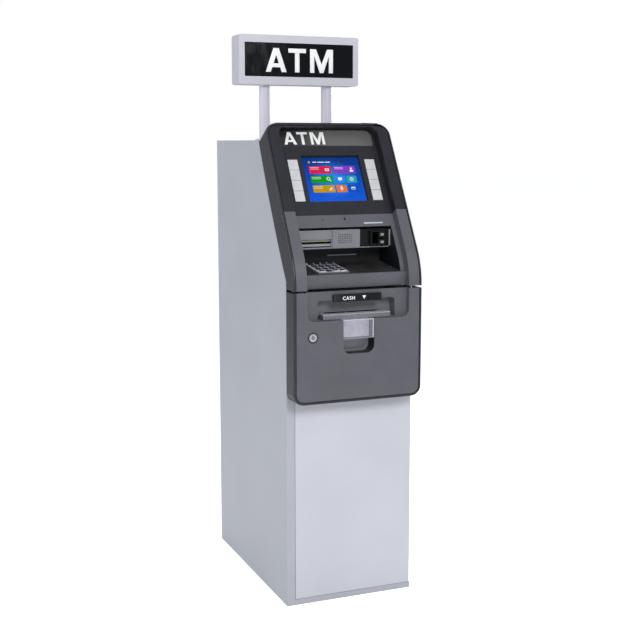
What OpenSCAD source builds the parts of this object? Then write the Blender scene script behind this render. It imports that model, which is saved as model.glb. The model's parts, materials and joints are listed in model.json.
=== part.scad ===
// Free-standing cash machine with a sloping console and a sign on two posts.
// Millimetres, +Z up, the front faces -Y. The origin is under the middle of the overall box, on the floor.

/* [Cabinet] */
// Width across the cabinet
cab_w = 400; // [390:1:480]
// Depth of the cabinet, from its front face to its rear
cab_d = 640; // [620:1:800]
// Height of the cabinet without its sign
cab_h = 1357; // [1300:1:1640]
// Outer sheet thickness
sheet = 2; // [1.5:0.5:3]
// Height of the strip under the door
plinth_h = 17; // [14:1:40]
// Width of the flange left of the door
flange_w = 25.5; // [24:0.5:40]

/* [Vault] */
// Vault wall thickness
vault_wall = 6; // [4:1:8]
// Vault door thickness
door_t = 12; // [10:0.5:14]
// Gap between the door and what it closes against
door_gap = 0.6; // [0.5:0.1:1]
// How far the locking bolts travel
bolt_throw = 20; // [16:1:22]
// Radius of a locking bolt
bolt_r = 9; // [7:0.5:11]

/* [Fascia] */
// How far the fascia stands in front of the cabinet face
fascia_d = 61; // [58:1:70]
// Slope of the console from the vertical, in degrees
slope = 30; // [26:1:32]
// Length of the sloping face above the cabinet face line
slope_top = 356; // [350:1:370]
// Height of the lower fascia
lower_h = 319.5; // [300:1:360]
// Gap between the two fascias
seam_gap = 6.5; // [5:0.5:9]
// Width of the rails on both sides of the recess
rail_w = 41; // [38:1:46]
// Depth of the console recess, square to the slope
recess_d = 30; // [24:1:34]
// Wall thickness of the moulded parts
wall = 4; // [3:0.5:5]

/* [Screen and keys] */
// Width of the screen opening
screen_w = 186; // [170:1:190]
// Height of the screen opening
screen_h = 153; // [140:1:160]
// Width of a function key
side_key_w = 31; // [26:0.5:32]
// Travel of a function key
side_key_travel = 2; // [1:0.5:3]
// Width of a keypad key
pin_key_w = 15; // [12:0.5:17]
// Depth of a keypad key
pin_key_d = 17; // [14:0.5:22]
// Travel of a keypad key
pin_key_travel = 2.5; // [1.5:0.5:3]

/* [Sign] */
// Height of the sign case
sign_h = 152; // [130:1:180]
// Thickness of the sign case
sign_d = 74; // [60:1:90]
// Distance from the cabinet top to the sign
post_h = 171.5; // [120:0.5:260]
// Diameter of a post
post_dia = 34; // [28:1:40]

/* [Hidden] */
$fn = 64;
digits = [1, 2, 3, 4, 5, 6, 7, 8, 9, 0];
pin_names = concat([for (d = digits) str("pin_key_", d)], ["pin_cancel", "pin_clear", "pin_enter"]);
side_names = [for (side = ["left", "right"]) for (i = [1:4]) str("key_", side, "_", i)];

fit = 0.05;                 // radial running clearance
gap = 0.3;                  // clearance between a piece and what it seats in
cut = 1;                    // how far a cut runs past a face
half_w = cab_w / 2;
face_y = fascia_d - (cab_d + fascia_d) / 2;

// Heights that everything above the vault follows
slope_z = cab_h - 257;      // where the slope crosses the cabinet face
seam_z = slope_z - 161;     // underside of the upper fascia
vault_top = seam_z - 11;
lower_top = seam_z - seam_gap;
lower_z = lower_top - lower_h;

// Console slope
bend_r = 200;
bend_z = slope_z - fascia_d / tan(slope) - bend_r * tan(slope / 2);
bend_steps = 12;
break_s = 65;               // where the console bezel meets the screen bezel
shell_n = 67;               // thickness of the upper fascia, square to the slope
shell_gap = 2;              // gap between the upper fascia and the cabinet
edge_foot_z = slope_z - 140;
edge_bow = 8;
edge_steps = 12;

// Fascia outline
lip = 6.5;                  // front rim of the side bands
groove = 2;                 // groove between a side band and the panel in it
panel_half = half_w - lip - groove;
recess_half = half_w - rail_w;
rim = 3;                    // thickness of the inner walls of a panel
lip_t = 5;                  // thickness of a side band's front rim
corner_top = 38;
corner_low = 30;
recess_top = 344;
recess_tilt = 13;

// Alcove
alcove_half = recess_half - 12;
brow_s = 26;
module_low = slope_z - 55;
module_high = slope_z - 1;
module_y = 50;
alcove_back = 120;
shelf_front = [-31, slope_z - 120.5];
shelf_back = [alcove_back, slope_z - 102];
shelf_tilt = atan2(shelf_back[1] - shelf_front[1], shelf_back[0] - shelf_front[0]);

// Screen and function keys, along the slope
header_half = recess_half - 9;
header_s = [295, 350];
screen_s = 110;
screen_half = screen_w / 2;
side_key_s = 111;
side_key_pitch = 34.35;
side_key_gap = 1;
side_key_x = screen_half + 15;

// Keypad, on the shelf
pin_pitch = [21, 29.5];
pin_first = [-95.5, 18];
pin_plate_t = 6;
pin_proud = 2.5;            // how far a key stands out of its plate
blank_spots = [[0, 0], [2, 0], [3, 0]];
pin_lift = pin_key_travel + 0.5;

// Lower fascia
low_recess_z = seam_z - 89;
low_recess_y = 20;
mouth_half = 122;
mouth_top = seam_z - 32;
pocket_half = 48.5;
pocket_z = seam_z - 187;
pocket_depth = 45;
lock_at = [-half_w + 58.3, seam_z - 134];
lock_r = 11.5;
fascia_pivot = [half_w - 5, -7.5];
fascia_pin_r = 2.5;
bracket_zs = [lower_z + 27, lower_top - 42];
bracket_h = 6;

// Vault door
door_low = plinth_h + 1;
door_high = vault_top - 1;
door_left = -half_w + flange_w + 1;
door_pivot = [half_w - 0.5 - door_t / 2, door_t / 2];
door_pin_r = 3.5;
slot_z = seam_z - 80;
slot_half = 85;
dial_at = [-half_w + 95, seam_z - 227];
handle_at = [30, seam_z - 289];
pinion_r = 13;
bolt_zs = [door_low + 210, door_low + 460, seam_z - 219];
bolt_y = 30;
bar_x = door_left + 11.5 + bolt_throw;

// Upper fascia pivot
tilt_at = [-fascia_d + 10, seam_z + 7];
tilt_pin_r = 3;
tilt_eye_r = 5;
arm_x = [recess_half + 9, recess_half + 17];

// Cabinet floor and rear
anchor_x = 130;
anchor_ys = [100, cab_d - 80];
anchor_r = 8;
inlet_x = [-half_w + 70, -half_w + 118];
inlet_z = [seam_z + 51, seam_z + 79];
vent_pitch = 9;
vent_half = 2;              // half the height of a vent slot

// Vault inside
shelf_z = slope_z - 718;
frame_half = 112;
roller_at = [100, slot_z - 14];

// Sign
sign_low = cab_h + post_h;
sign_y = 400;
post_x = 105;
fan_at = [half_w - 94, cab_h - 131];

// ---------- points and placing ----------

// A point on a line n behind the sloping face, s up the slope from the cabinet face line
function slope_point(n, s) =
    [s * sin(slope) + n * cos(slope), slope_z + s * cos(slope) - n * sin(slope)];

// The front of the upper fascia, n behind its face: upright, round the bend and up the slope to s
function front_line(n, s) = concat(
    [[n - fascia_d, seam_z]],
    [for (i = [0:bend_steps]) let (a = 180 - slope * i / bend_steps)
        [bend_r - fascia_d + (bend_r - n) * cos(a), bend_z + (bend_r - n) * sin(a)]],
    [slope_point(n, s)]);

// The bowed line where the upper fascia meets the cabinet, moved back by some distance
function meeting_line(back) =
    let (foot = [0, edge_foot_z], head = slope_point(shell_n, slope_top))
    let (run = (head - foot) / norm(head - foot))
    [for (i = [0:edge_steps]) let (t = i / edge_steps)
        foot + t * (head - foot) + 4 * edge_bow * t * (1 - t) * [run[1], -run[0]] + [back, 0]];

function reversed(points) = [for (i = [len(points) - 1:-1:0]) points[i]];

// A band between two lines behind the face, from the seam up to s
function face_band(n0, n1, s) = concat(front_line(n0, s), reversed(front_line(n1, s)));

module place() {
    translate([0, face_y, 0]) children();
}

// Its own frame: x across, y square into the face, z up the slope
module on_slope() {
    place() translate([0, 0, slope_z]) rotate([-slope, 0, 0]) children();
}

// Its own frame: x across, y back along the shelf, z square to it
module on_shelf() {
    place() translate([0, shelf_front[0], shelf_front[1]]) rotate([shelf_tilt, 0, 0]) children();
}

module block(x, y, z) {
    translate([x[0], y[0], z[0]]) cube([x[1] - x[0], y[1] - y[0], z[1] - z[0]]);
}

// An outline of (y, z) points, drawn out along x
module across(x, outline) {
    translate([x[0], 0, 0]) rotate([90, 0, 90]) linear_extrude(x[1] - x[0]) polygon(outline);
}

// A flat shape in (x, z), drawn out along y
module facing(y) {
    translate([0, y[1], 0]) rotate([90, 0, 0]) linear_extrude(y[1] - y[0]) children();
}

module rod_x(x, y, z, r) {
    translate([x[0], y, z]) rotate([0, 90, 0]) cylinder(h = x[1] - x[0], r = r);
}

module rod_y(x, y, z, r) {
    translate([x, y[1], z]) rotate([90, 0, 0]) cylinder(h = y[1] - y[0], r = r);
}

module rod_z(x, y, z, r) {
    translate([x, y, z[0]]) cylinder(h = z[1] - z[0], r = r);
}

module both_sides() {
    children();
    mirror([1, 0, 0]) children();
}

// A rectangle with one radius on its low corners and another on its high corners
module rounded(x, z, low, high) {
    translate([x[0], z[0] + low]) square([x[1] - x[0], z[1] - z[0] - low - high]);
    for (end = [[low, z[0], z[0] + low], [high, z[1] - high, z[1] - high]]) {
        if (end[0] > 0) {
            translate([x[0] + end[0], end[1]]) square([x[1] - x[0] - 2 * end[0], end[0]]);
            for (cx = [x[0] + end[0], x[1] - end[0]]) translate([cx, end[2]]) circle(end[0]);
        }
    }
}

// ---------- lettering drawn as plain blocks ----------

module letter_a(w, h, t) {
    lean = (w - 1.2 * t) / 2;
    leg = 1.1 * t;
    bar = [0.2 * h, 0.2 * h + 0.8 * t];
    peak = (w / 2 - leg) * h / lean;
    difference() {
        polygon([[0, 0], [lean, h], [w - lean, h], [w, 0]]);
        polygon([[leg + lean * bar[1] / h, bar[1]], [w - leg - lean * bar[1] / h, bar[1]], [w / 2, peak]]);
        polygon([[leg - lean * cut / h, -cut], [w - leg + lean * cut / h, -cut],
                 [w - leg - lean * bar[0] / h, bar[0]], [leg + lean * bar[0] / h, bar[0]]]);
    }
}

module letter_t(w, h, t) {
    translate([0, h - 0.87 * t]) square([w, 0.87 * t]);
    translate([(w - t) / 2, 0]) square([t, h - 0.5 * t]);
}

module letter_m(w, h, t) {
    polygon([[0, 0], [0, h], [1.35 * t, h], [w / 2, 0.36 * h], [w - 1.35 * t, h], [w, h], [w, 0],
             [w - 0.95 * t, 0], [w - 0.95 * t, 0.72 * h], [w / 2 + 0.42 * t, 0], [w / 2 - 0.42 * t, 0],
             [0.95 * t, 0.72 * h], [0.95 * t, 0]]);
}

// A, T and M in a row, h high, from x = 0
module atm_letters(h) {
    letter_a(0.95 * h, h, 0.205 * h);
    translate([1.03 * h, 0]) letter_t(0.81 * h, h, 0.205 * h);
    translate([2.03 * h, 0]) letter_m(1.07 * h, h, 0.205 * h);
}

module cash_letters(h, w, t) {
    pitch = 1.35 * w;
    difference() {
        square([w, h]);
        translate([t, t]) square([w, h - 2 * t]);
    }
    translate([pitch, 0]) letter_a(1.2 * w, h, t);
    translate([2.2 * pitch, 0]) difference() {
        square([w, h]);
        translate([t, (h + t) / 2]) square([w, (h - 3 * t) / 2]);
        translate([-cut, t]) square([w - t + cut, (h - 3 * t) / 2]);
    }
    translate([3.2 * pitch, 0]) {
        square([t, h]);
        translate([w - t, 0]) square([t, h]);
        translate([0, (h - t) / 2]) square([w, t]);
    }
}

// ---------- cabinet ----------

module cabinet_shell() {
    side = concat([[0, 0]], meeting_line(0), [[cab_d, slope_point(shell_n, slope_top)[1]], [cab_d, 0]]);
    color("#b4b7be") place() difference() {
        intersection() {
            across([-half_w, half_w], side);
            block([-half_w, half_w], [0, cab_d], [0, cab_h]);
        }
        difference() {
            block([-half_w + sheet, half_w - sheet], [-cut, cab_d - sheet], [-cut, cab_h - sheet]);
            block([-half_w, -half_w + flange_w], [-cut, sheet], [-cut, vault_top + 2]);
            block([-half_w, half_w], [-cut, sheet], [-cut, plinth_h]);
        }
        block([half_w - sheet - cut, half_w + cut], [-cut, door_t + door_gap], [plinth_h, vault_top + 2]);
        facing([cab_d - 5, cab_d + cut]) rounded([-half_w + 35, half_w - 35], [seam_z + 26, cab_h - 37], 6, 6);
        for (x = [-post_x, post_x]) rod_z(x, sign_y + sign_d / 2, [cab_h - 5, cab_h + cut], 6);
    }
}

module base_plate() {
    color("#7c7f86") place() difference() {
        block([-half_w + sheet, half_w - sheet], [sheet, cab_d - sheet], [0, vault_wall]);
        for (x = [-anchor_x, anchor_x]) for (y = anchor_ys) rod_z(x, y, [-cut, vault_wall + cut], anchor_r);
    }
}

module vault_body() {
    side = half_w - sheet;
    jamb_y = [sheet + 0.5, 14];
    color("#8d9097") place() difference() {
        union() {
            difference() {
                block([-side, side], [door_t + door_gap, cab_d - sheet], [vault_wall, vault_top]);
                block([-side + vault_wall, side - vault_wall], [0, cab_d - sheet - vault_wall],
                      [0, vault_top - vault_wall]);
            }
            block([-side, -half_w + flange_w - 0.5], jamb_y, [vault_wall, vault_top]);
            block([-side, side], jamb_y, [vault_wall, plinth_h]);
            block([door_pivot[0] - 8, side], [1, 30], [vault_top + 0.5, vault_top + 8]);
            block([door_pivot[0] - 8, side], [door_t + door_gap, 30], [vault_top - 3, vault_top + 1]);
            block([-side + 1, side - 1], [60, cab_d - sheet - 1], [shelf_z - vault_wall, shelf_z]);
        }
        rod_z(door_pivot[0], door_pivot[1], [vault_wall + 2, plinth_h + cut], door_pin_r + fit);
        rod_z(door_pivot[0], door_pivot[1], [vault_top, vault_top + 7], door_pin_r + fit);
    }
}

module rear_panel() {
    vent_x = fan_at[0];
    color("#a9acb3") place() difference() {
        facing([cab_d - sheet, cab_d]) rounded([-half_w + 35.5, half_w - 35.5],
                                               [seam_z + 26.5, cab_h - 37.5], 5.5, 5.5);
        for (i = [-4:4]) block([vent_x - 40, vent_x + 40], [cab_d - 5, cab_d + cut],
                               [fan_at[1] + i * vent_pitch - vent_half, fan_at[1] + i * vent_pitch + vent_half]);
        for (i = [0:7]) block([-half_w + 60, -half_w + 150], [cab_d - 5, cab_d + cut],
                              [fan_at[1] - 32 + i * vent_pitch - vent_half, fan_at[1] - 32 + i * vent_pitch + vent_half]);
        block([inlet_x[0] - gap, inlet_x[1] + gap], [cab_d - 5, cab_d + cut],
              [inlet_z[0] - gap, inlet_z[1] + gap]);
    }
}

module power_supply() {
    color("#9a9da3") place() difference() {
        union() {
            block([-half_w + 45, -half_w + 135], [cab_d - 152, cab_d - 12], [vault_top, vault_top + 100]);
            block(inlet_x, [cab_d - 13, cab_d], inlet_z);
        }
        block([inlet_x[0] + 8, inlet_x[1] - 8], [cab_d - 10, cab_d + cut], [inlet_z[0] + 4, inlet_z[1] - 4]);
    }
}

module computer_box() {
    color("#8f9298") place() difference() {
        block([-60, half_w - 40], [cab_d - 290, cab_d - 60], [vault_top, vault_top + 160]);
        for (i = [0:9]) block([-40 + i * 16, -34 + i * 16], [cab_d - 262, cab_d - 130],
                              [vault_top + 156, vault_top + 161]);
    }
}

module cooling_fan() {
    fan_half = 46;
    color("#3a3b3f") place() difference() {
        block([fan_at[0] - fan_half, fan_at[0] + fan_half], [cab_d - 28, cab_d - sheet],
              [fan_at[1] - fan_half, fan_at[1] + fan_half]);
        difference() {
            rod_y(fan_at[0], [cab_d - 29, cab_d], fan_at[1], 43);
            rod_y(fan_at[0], [cab_d - 7, cab_d - sheet], fan_at[1], 17);
            rod_y(fan_at[0], [cab_d - 20, cab_d - 6], fan_at[1], 3);
            for (a = [0:120:240]) translate([fan_at[0], 0, fan_at[1]]) rotate([0, a, 0])
                block([-3, 3], [cab_d - 7, cab_d - sheet], [10, 44]);
        }
    }
}

module fan_rotor() {
    color("#4a4b50") place() difference() {
        union() {
            rod_y(fan_at[0], [cab_d - 26, cab_d - 9], fan_at[1], 16);
            for (a = [0:360 / 7:359]) translate([fan_at[0], cab_d - 17, fan_at[1]]) rotate([0, a, 0])
                rotate([0, 0, 35]) block([-1, 1], [-8, 8], [13, 40]);
        }
        rod_y(fan_at[0], [cab_d - 22, cab_d], fan_at[1], 3 + fit);
    }
}

// Arms that carry the upper fascia, and the pins of it and of the vault door
module hinge_fittings() {
    arm = [[tilt_at[0], tilt_at[1] - tilt_eye_r], [tilt_at[0], tilt_at[1] + tilt_eye_r],
           [10, tilt_at[1] + tilt_eye_r], [80, vault_top + 8], [80, vault_top], [door_t + 1, vault_top],
           [door_t + 1, vault_top + 8], [0, tilt_at[1] - tilt_eye_r]];
    color("#6f7278") place() {
        both_sides() {
            difference() {
                union() {
                    across(arm_x, arm);
                    rod_x(arm_x, tilt_at[0], tilt_at[1], tilt_eye_r);
                    block([arm_x[0] - 16, arm_x[0] + 1], [20, 80], [vault_top, vault_top + 4]);
                }
                rod_x([arm_x[0] - cut, arm_x[1] + cut], tilt_at[0], tilt_at[1], tilt_pin_r + fit);
            }
            rod_x([arm_x[0] - 5.5, arm_x[1] + 7], tilt_at[0], tilt_at[1], tilt_pin_r);
        }
        rod_z(door_pivot[0], door_pivot[1], [vault_wall + 2.3, door_low + 24], door_pin_r);
        rod_z(door_pivot[0], door_pivot[1], [door_high - 24, vault_top + 6.7], door_pin_r);
    }
}

// ---------- sign ----------

module sign_posts() {
    color("#bcbac6") place() for (x = [-post_x, post_x]) translate([x, sign_y + sign_d / 2, 0]) difference() {
        union() {
            cylinder(h = 4, r = post_dia / 2 + 13);
            cylinder(h = post_h, r = post_dia / 2);
            translate([0, 0, -12]) cylinder(h = 13, r = 6 - gap);
        }
        translate([0, 0, 4]) cylinder(h = post_h, r = post_dia / 2 - 2);
        for (a = [45:90:315]) rotate([0, 0, a]) translate([post_dia / 2 + 7, 0, -cut]) cylinder(h = 6, r = 2.5);
    }
}

module sign_posts_at_top() {
    translate([0, 0, cab_h]) sign_posts();
}

module sign_case() {
    t = 3;
    z = [sign_low, sign_low + sign_h];
    color("#c9c9d1") place() difference() {
        facing([sign_y, sign_y + sign_d]) rounded([-half_w, half_w], z, 8, 8);
        facing([sign_y + t, sign_y + sign_d - t]) rounded([-half_w + t, half_w - t], [z[0] + t, z[1] - t], 5, 5);
        facing([sign_y - cut, sign_y + t + cut]) rounded([-half_w + 18, half_w - 18],
                                                         [z[0] + 25, z[1] - 23.5], 2, 2);
    }
}

module sign_face() {
    t = 3;
    letter_h = 0.48 * sign_h;
    color("#1d1e22") place()
        block([-half_w + 8, half_w - 8], [sign_y + t, sign_y + t + 3], [sign_low + 14, sign_low + sign_h - 14]);
    color("white") place() translate([-113, 0, sign_low + 39.5])
        facing([sign_y + t - 1, sign_y + t]) atm_letters(letter_h);
}

// ---------- vault inside ----------

module dispenser_frame() {
    color("#7b7e85") place() {
        difference() {
            both_sides() block([frame_half - 4, frame_half], [62, 430], [shelf_z, slot_z + 22]);
            rod_x([-frame_half - cut, frame_half + cut], roller_at[0], roller_at[1], 6 + fit);
            both_sides() block([frame_half - 5, frame_half + cut], [150, 380], [slot_z - 180, slot_z - 60]);
        }
        block([-frame_half + 4, frame_half - 4], [62, 430], [slot_z + 12, slot_z + 16]);
        block([-frame_half + 4, frame_half - 4], [130, 430], [slot_z - 240, slot_z - 200]);
    }
}

module feed_roller() {
    color("#5b5d63") place() {
        rod_x([-frame_half - 3, frame_half + 3], roller_at[0], roller_at[1], 6);
        for (x = [-60, 0, 60]) difference() {
            rod_x([x - 9, x + 9], roller_at[0], roller_at[1], 16);
            rod_x([x - 10, x + 10], roller_at[0], roller_at[1], 6);
        }
    }
}

module cash_cassette() {
    color("#3f4147") place() difference() {
        union() {
            block([-100, 100], [76, 420], [shelf_z, shelf_z + 150]);
            block([-45, 45], [66, 78], [shelf_z + 92, shelf_z + 104]);
        }
        block([-96, 96], [80, 416], [shelf_z + 4, shelf_z + 151]);
    }
}

// ---------- vault door ----------

module vault_door() {
    color("#cfcfd6") place() difference() {
        union() {
            block([door_left, door_pivot[0]], [0, door_t], [door_low, door_high]);
            rod_z(door_pivot[0], door_pivot[1], [door_low, door_high], door_t / 2);
        }
        rod_z(door_pivot[0], door_pivot[1], [door_low - cut, door_low + 25], door_pin_r + fit);
        rod_z(door_pivot[0], door_pivot[1], [door_high - 25, door_high + cut], door_pin_r + fit);
        block([-slot_half, slot_half], [-cut, door_t + cut], [slot_z - 10, slot_z + 10]);
        rod_y(dial_at[0], [-cut, door_t + cut], dial_at[1], 4 + fit);
        rod_y(handle_at[0], [-cut, door_t + cut], handle_at[1], 6 + fit);
    }
}

// The combination lock and the guides that the bolts slide in
module lock_case() {
    color("#94979d") place() {
        difference() {
            block([dial_at[0] - 15, dial_at[0] + 45], [door_t, 44], [dial_at[1] - 28, dial_at[1] + 32]);
            rod_y(dial_at[0], [door_t - cut, door_t + 12], dial_at[1], 4 + fit);
        }
        for (z = bolt_zs) difference() {
            block([door_left + 2, door_left + 10], [door_t, 42], [z - 14, z + 14]);
            rod_x([door_left, door_left + 12], bolt_y, z, bolt_r + fit);
        }
    }
}

// Hinge brackets of the lower fascia with their pins, and the keeper of its lock, all on the vault door
module fascia_mounts() {
    keeper_x = lock_at[0] - 30.3;
    color("#6f7278") place() {
        for (z = bracket_zs) {
            difference() {
                union() {
                    rod_z(fascia_pivot[0], fascia_pivot[1], [z, z + bracket_h], 4.5);
                    block([fascia_pivot[0] - 9, door_pivot[0]], [fascia_pivot[1] + 1, 0], [z, z + bracket_h]);
                    block([fascia_pivot[0] - 4.5, fascia_pivot[0]], [fascia_pivot[1], -3], [z, z + bracket_h]);
                }
                rod_z(fascia_pivot[0], fascia_pivot[1], [z - cut, z + bracket_h + cut], fascia_pin_r + 0.02);
            }
            rod_z(fascia_pivot[0], fascia_pivot[1], [z - 7, z + bracket_h + 7], fascia_pin_r);
        }
        block([keeper_x, keeper_x + 3], [-31 + gap, 0], [lock_at[1] - 10, lock_at[1] + 10]);
        block([keeper_x, keeper_x + 12], [-34, -31], [lock_at[1] - 10, lock_at[1] + 10]);
    }
}

module vault_dial() {
    color("#2d2e33") place() {
        difference() {
            union() {
                rod_y(dial_at[0], [-9, -1], dial_at[1], 30);
                rod_y(dial_at[0], [-28, -8], dial_at[1], 21);
                rod_y(dial_at[0], [-2, door_t + 11], dial_at[1], 4);
            }
            for (a = [0:30:330]) translate([dial_at[0], 0, dial_at[1]]) rotate([0, a, 0])
                rod_y(22, [-29, -10], 0, 2.5);
        }
    }
}

module vault_handle() {
    color("#c3c5cb") place() {
        rod_y(handle_at[0], [-28, -1], handle_at[1], 14);
        block([handle_at[0], handle_at[0] + 68], [-28, -16], [handle_at[1] - 7, handle_at[1] + 7]);
        rod_y(handle_at[0], [-2, door_t + 2], handle_at[1], 6);
        rod_y(handle_at[0], [door_t + 1, door_t + 26], handle_at[1], pinion_r);
    }
}

module bolt_bar() {
    bar_z = [handle_at[1] + pinion_r + 0.5, handle_at[1] + pinion_r + 12];
    color("#c9cbd0") place() {
        block([bar_x, bar_x + 16], [26, 34], [bolt_zs[0] - 20, bolt_zs[2] + 14]);
        block([bar_x + 8, handle_at[0] + 24], [26, 34], bar_z);
        for (z = bolt_zs) rod_x([door_left + 3, bar_x + 8], bolt_y, z, bolt_r);
    }
}

// ---------- lower fascia ----------

module lower_outline(inset, radius) {
    rounded([-half_w + inset, half_w - inset], [lower_z + inset, lower_top + (inset > 0 ? cut : 0)], radius, 0);
}

module lower_shell() {
    color("#64656b") place() difference() {
        union() {
            difference() {
                facing([-fascia_d, -2.5]) lower_outline(0, corner_low);
                facing([-fascia_d - cut, 0]) lower_outline(lip, corner_low - lip);
                facing([-fascia_d + lip_t, 0]) lower_outline(wall, corner_low - wall);
            }
            for (z = bracket_zs) for (range = [[z - 8, z - 0.4], [z + bracket_h + 0.4, z + bracket_h + 8]])
                rod_z(fascia_pivot[0], fascia_pivot[1], range, 4.5);
        }
        for (z = bracket_zs) {
            block([fascia_pivot[0] - 6, half_w + cut], [-15, 0], [z - 0.4, z + bracket_h + 0.4]);
            rod_z(fascia_pivot[0], fascia_pivot[1], [z - 9, z + bracket_h + 9], fascia_pin_r + fit);
        }
    }
}

module lower_panel_outline(inset) {
    rounded([-panel_half + inset, panel_half - inset],
            [lower_z + lip + groove + inset, lower_top], corner_low - lip - groove - inset, 0);
}

module low_recess(grow) {
    rounded([-recess_half - grow, recess_half + grow], [low_recess_z - grow, lower_top + grow], 22 + grow, 0);
}

module pocket_outline(grow) {
    rounded([-pocket_half - grow, pocket_half + grow], [pocket_z - grow, low_recess_z + 4], 22 + grow, 0);
}

module lower_panel() {
    front = -fascia_d + 1;
    back = -fascia_d + low_recess_y;
    color("#68696f") place() difference() {
        union() {
            facing([front, front + rim]) lower_panel_outline(0);
            difference() {
                union() {
                    facing([front, front + 14]) lower_panel_outline(0);
                    intersection() {
                        facing([-fascia_d + lip_t + gap, -fascia_d + lip_t + gap + rim])
                            lower_outline(wall + gap, corner_low - wall - gap);
                        block([-half_w, half_w], [-fascia_d, 0], [0, lower_top]);
                    }
                }
                facing([front, front + 15]) translate([0, cut]) lower_panel_outline(rim);
            }
            intersection() {
                facing([front, back + rim]) low_recess(rim);
                block([-half_w, half_w], [-fascia_d, 0], [0, lower_top]);
            }
        }
        facing([front - cut, back]) low_recess(0);
        facing([back - cut, back + rim + cut]) rounded([-mouth_half, mouth_half],
                                                       [low_recess_z + 1, mouth_top], 4, 10);
        facing([front - cut, back + rim + cut]) pocket_outline(0);
        rod_y(lock_at[0], [front - cut, front + 10], lock_at[1], lock_r + 2.2);
    }
}

// The lining behind the note mouth and in the finger pocket
module note_chute() {
    front = -fascia_d + 1 + rim;
    back = -fascia_d + low_recess_y + rim;
    color("#55565c") place() difference() {
        union() {
            facing([back, -3]) rounded([-mouth_half - rim, mouth_half + rim],
                                       [low_recess_z - rim, mouth_top + rim], 7, 13);
            facing([front, -fascia_d + pocket_depth]) difference() {
                pocket_outline(rim);
                translate([-half_w, low_recess_z - rim]) square([cab_w, 20]);
            }
        }
        facing([back - cut, -6]) rounded([-mouth_half, mouth_half], [low_recess_z, mouth_top], 4, 10);
        facing([front - cut, -fascia_d + pocket_depth - rim]) pocket_outline(0);
        block([-slot_half, slot_half], [-8, 0], [slot_z - 8, slot_z + 8]);
    }
}

module cash_label() {
    top = seam_z - 16;
    y = -fascia_d + 11;
    color("#222328") place()
        facing([y, -fascia_d + low_recess_y]) rounded([-75, 75], [top - 22, top], 2, 2);
    color("white") place() {
        translate([-46, 0, top - 16]) facing([y - 0.5, y]) cash_letters(10, 8, 2);
        facing([y - 0.5, y]) translate([20, top - 6]) polygon([[-6, 0], [6, 0], [0, -10]]);
    }
}

// Clear hood over the note slot and the clear scoop in the pocket
module note_guard() {
    y = -fascia_d + low_recess_y;
    hood_half = 105.5;
    skin = 3;
    color("#d5d4de") place() {
        difference() {
            block([-hood_half, hood_half], [y - 5, y + 24], [low_recess_z + 1 + gap, low_recess_z + 16]);
            block([-hood_half + skin, hood_half - skin], [y - 5 + skin, y + 25],
                  [low_recess_z - cut, low_recess_z + 16 - skin]);
        }
        difference() {
            block([-pocket_half + gap, pocket_half - gap], [-fascia_d + 4, y + 15],
                  [low_recess_z - 55, low_recess_z]);
            block([-pocket_half + gap + skin, pocket_half - gap - skin], [-fascia_d + 4 + skin, y + 15 - skin],
                  [low_recess_z - 56, low_recess_z + 1]);
        }
    }
}

module lock_barrel() {
    color("#9b9ca2") place() difference() {
        union() {
            rod_y(lock_at[0], [-fascia_d, -fascia_d + 1], lock_at[1], lock_r + 4);
            rod_y(lock_at[0], [-fascia_d + 0.5, -fascia_d + 18], lock_at[1], lock_r + 2);
        }
        rod_y(lock_at[0], [-fascia_d - cut, -fascia_d + 19], lock_at[1], lock_r + fit);
    }
}

module lock_plug() {
    front = -fascia_d + 0.5;
    color("#d9dade") place() difference() {
        union() {
            rod_y(lock_at[0], [front, -fascia_d + 19], lock_at[1], lock_r);
            rod_y(lock_at[0], [-fascia_d + 18, -fascia_d + 34], lock_at[1], 5);
            block([lock_at[0] - 4.5, lock_at[0] + 4.5], [-fascia_d + 31, -fascia_d + 34],
                  [lock_at[1] - 24, lock_at[1] + 5]);
        }
        difference() {
            rod_y(lock_at[0], [front - cut, front + 5], lock_at[1], 4.4);
            rod_y(lock_at[0], [front - 2 * cut, front + 6], lock_at[1], 2.6);
        }
        block([lock_at[0] - 1, lock_at[0] + 1], [front - cut, front + 3], [lock_at[1] + 3, lock_at[1] + 6.5]);
    }
}

// ---------- upper fascia ----------

module slope_outline(inset, radius) {
    rounded([-half_w + inset, half_w - inset], [-400, slope_top - inset], 0, radius);
}

module upper_shell() {
    edge = meeting_line(-shell_gap);
    front = front_line(0, slope_top);
    side = concat(front, reversed(edge), [[-shell_gap, seam_z]]);
    inner = concat(front_line(lip_t, slope_top + 20),
                   [[cab_d, cab_h], [cab_d, seam_z - cut], [lip_t - fascia_d, seam_z - cut]]);
    color("#5d5e64") difference() {
        union() {
            difference() {
                intersection() {
                    place() across([-half_w, half_w], side);
                    on_slope() facing([-150, 200]) slope_outline(0, corner_top);
                }
                on_slope() facing([-160, 300]) slope_outline(lip, corner_top - lip);
                intersection() {
                    place() across([-half_w + wall, half_w - wall], inner);
                    on_slope() facing([-160, 300]) slope_outline(wall, corner_top - wall);
                }
            }
            on_slope() block([-half_w + corner_top, half_w - corner_top], [shell_n - 3, shell_n - 0.5],
                             [slope_top - 17, slope_top - wall + 0.5]);
        }
    }
}

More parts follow.
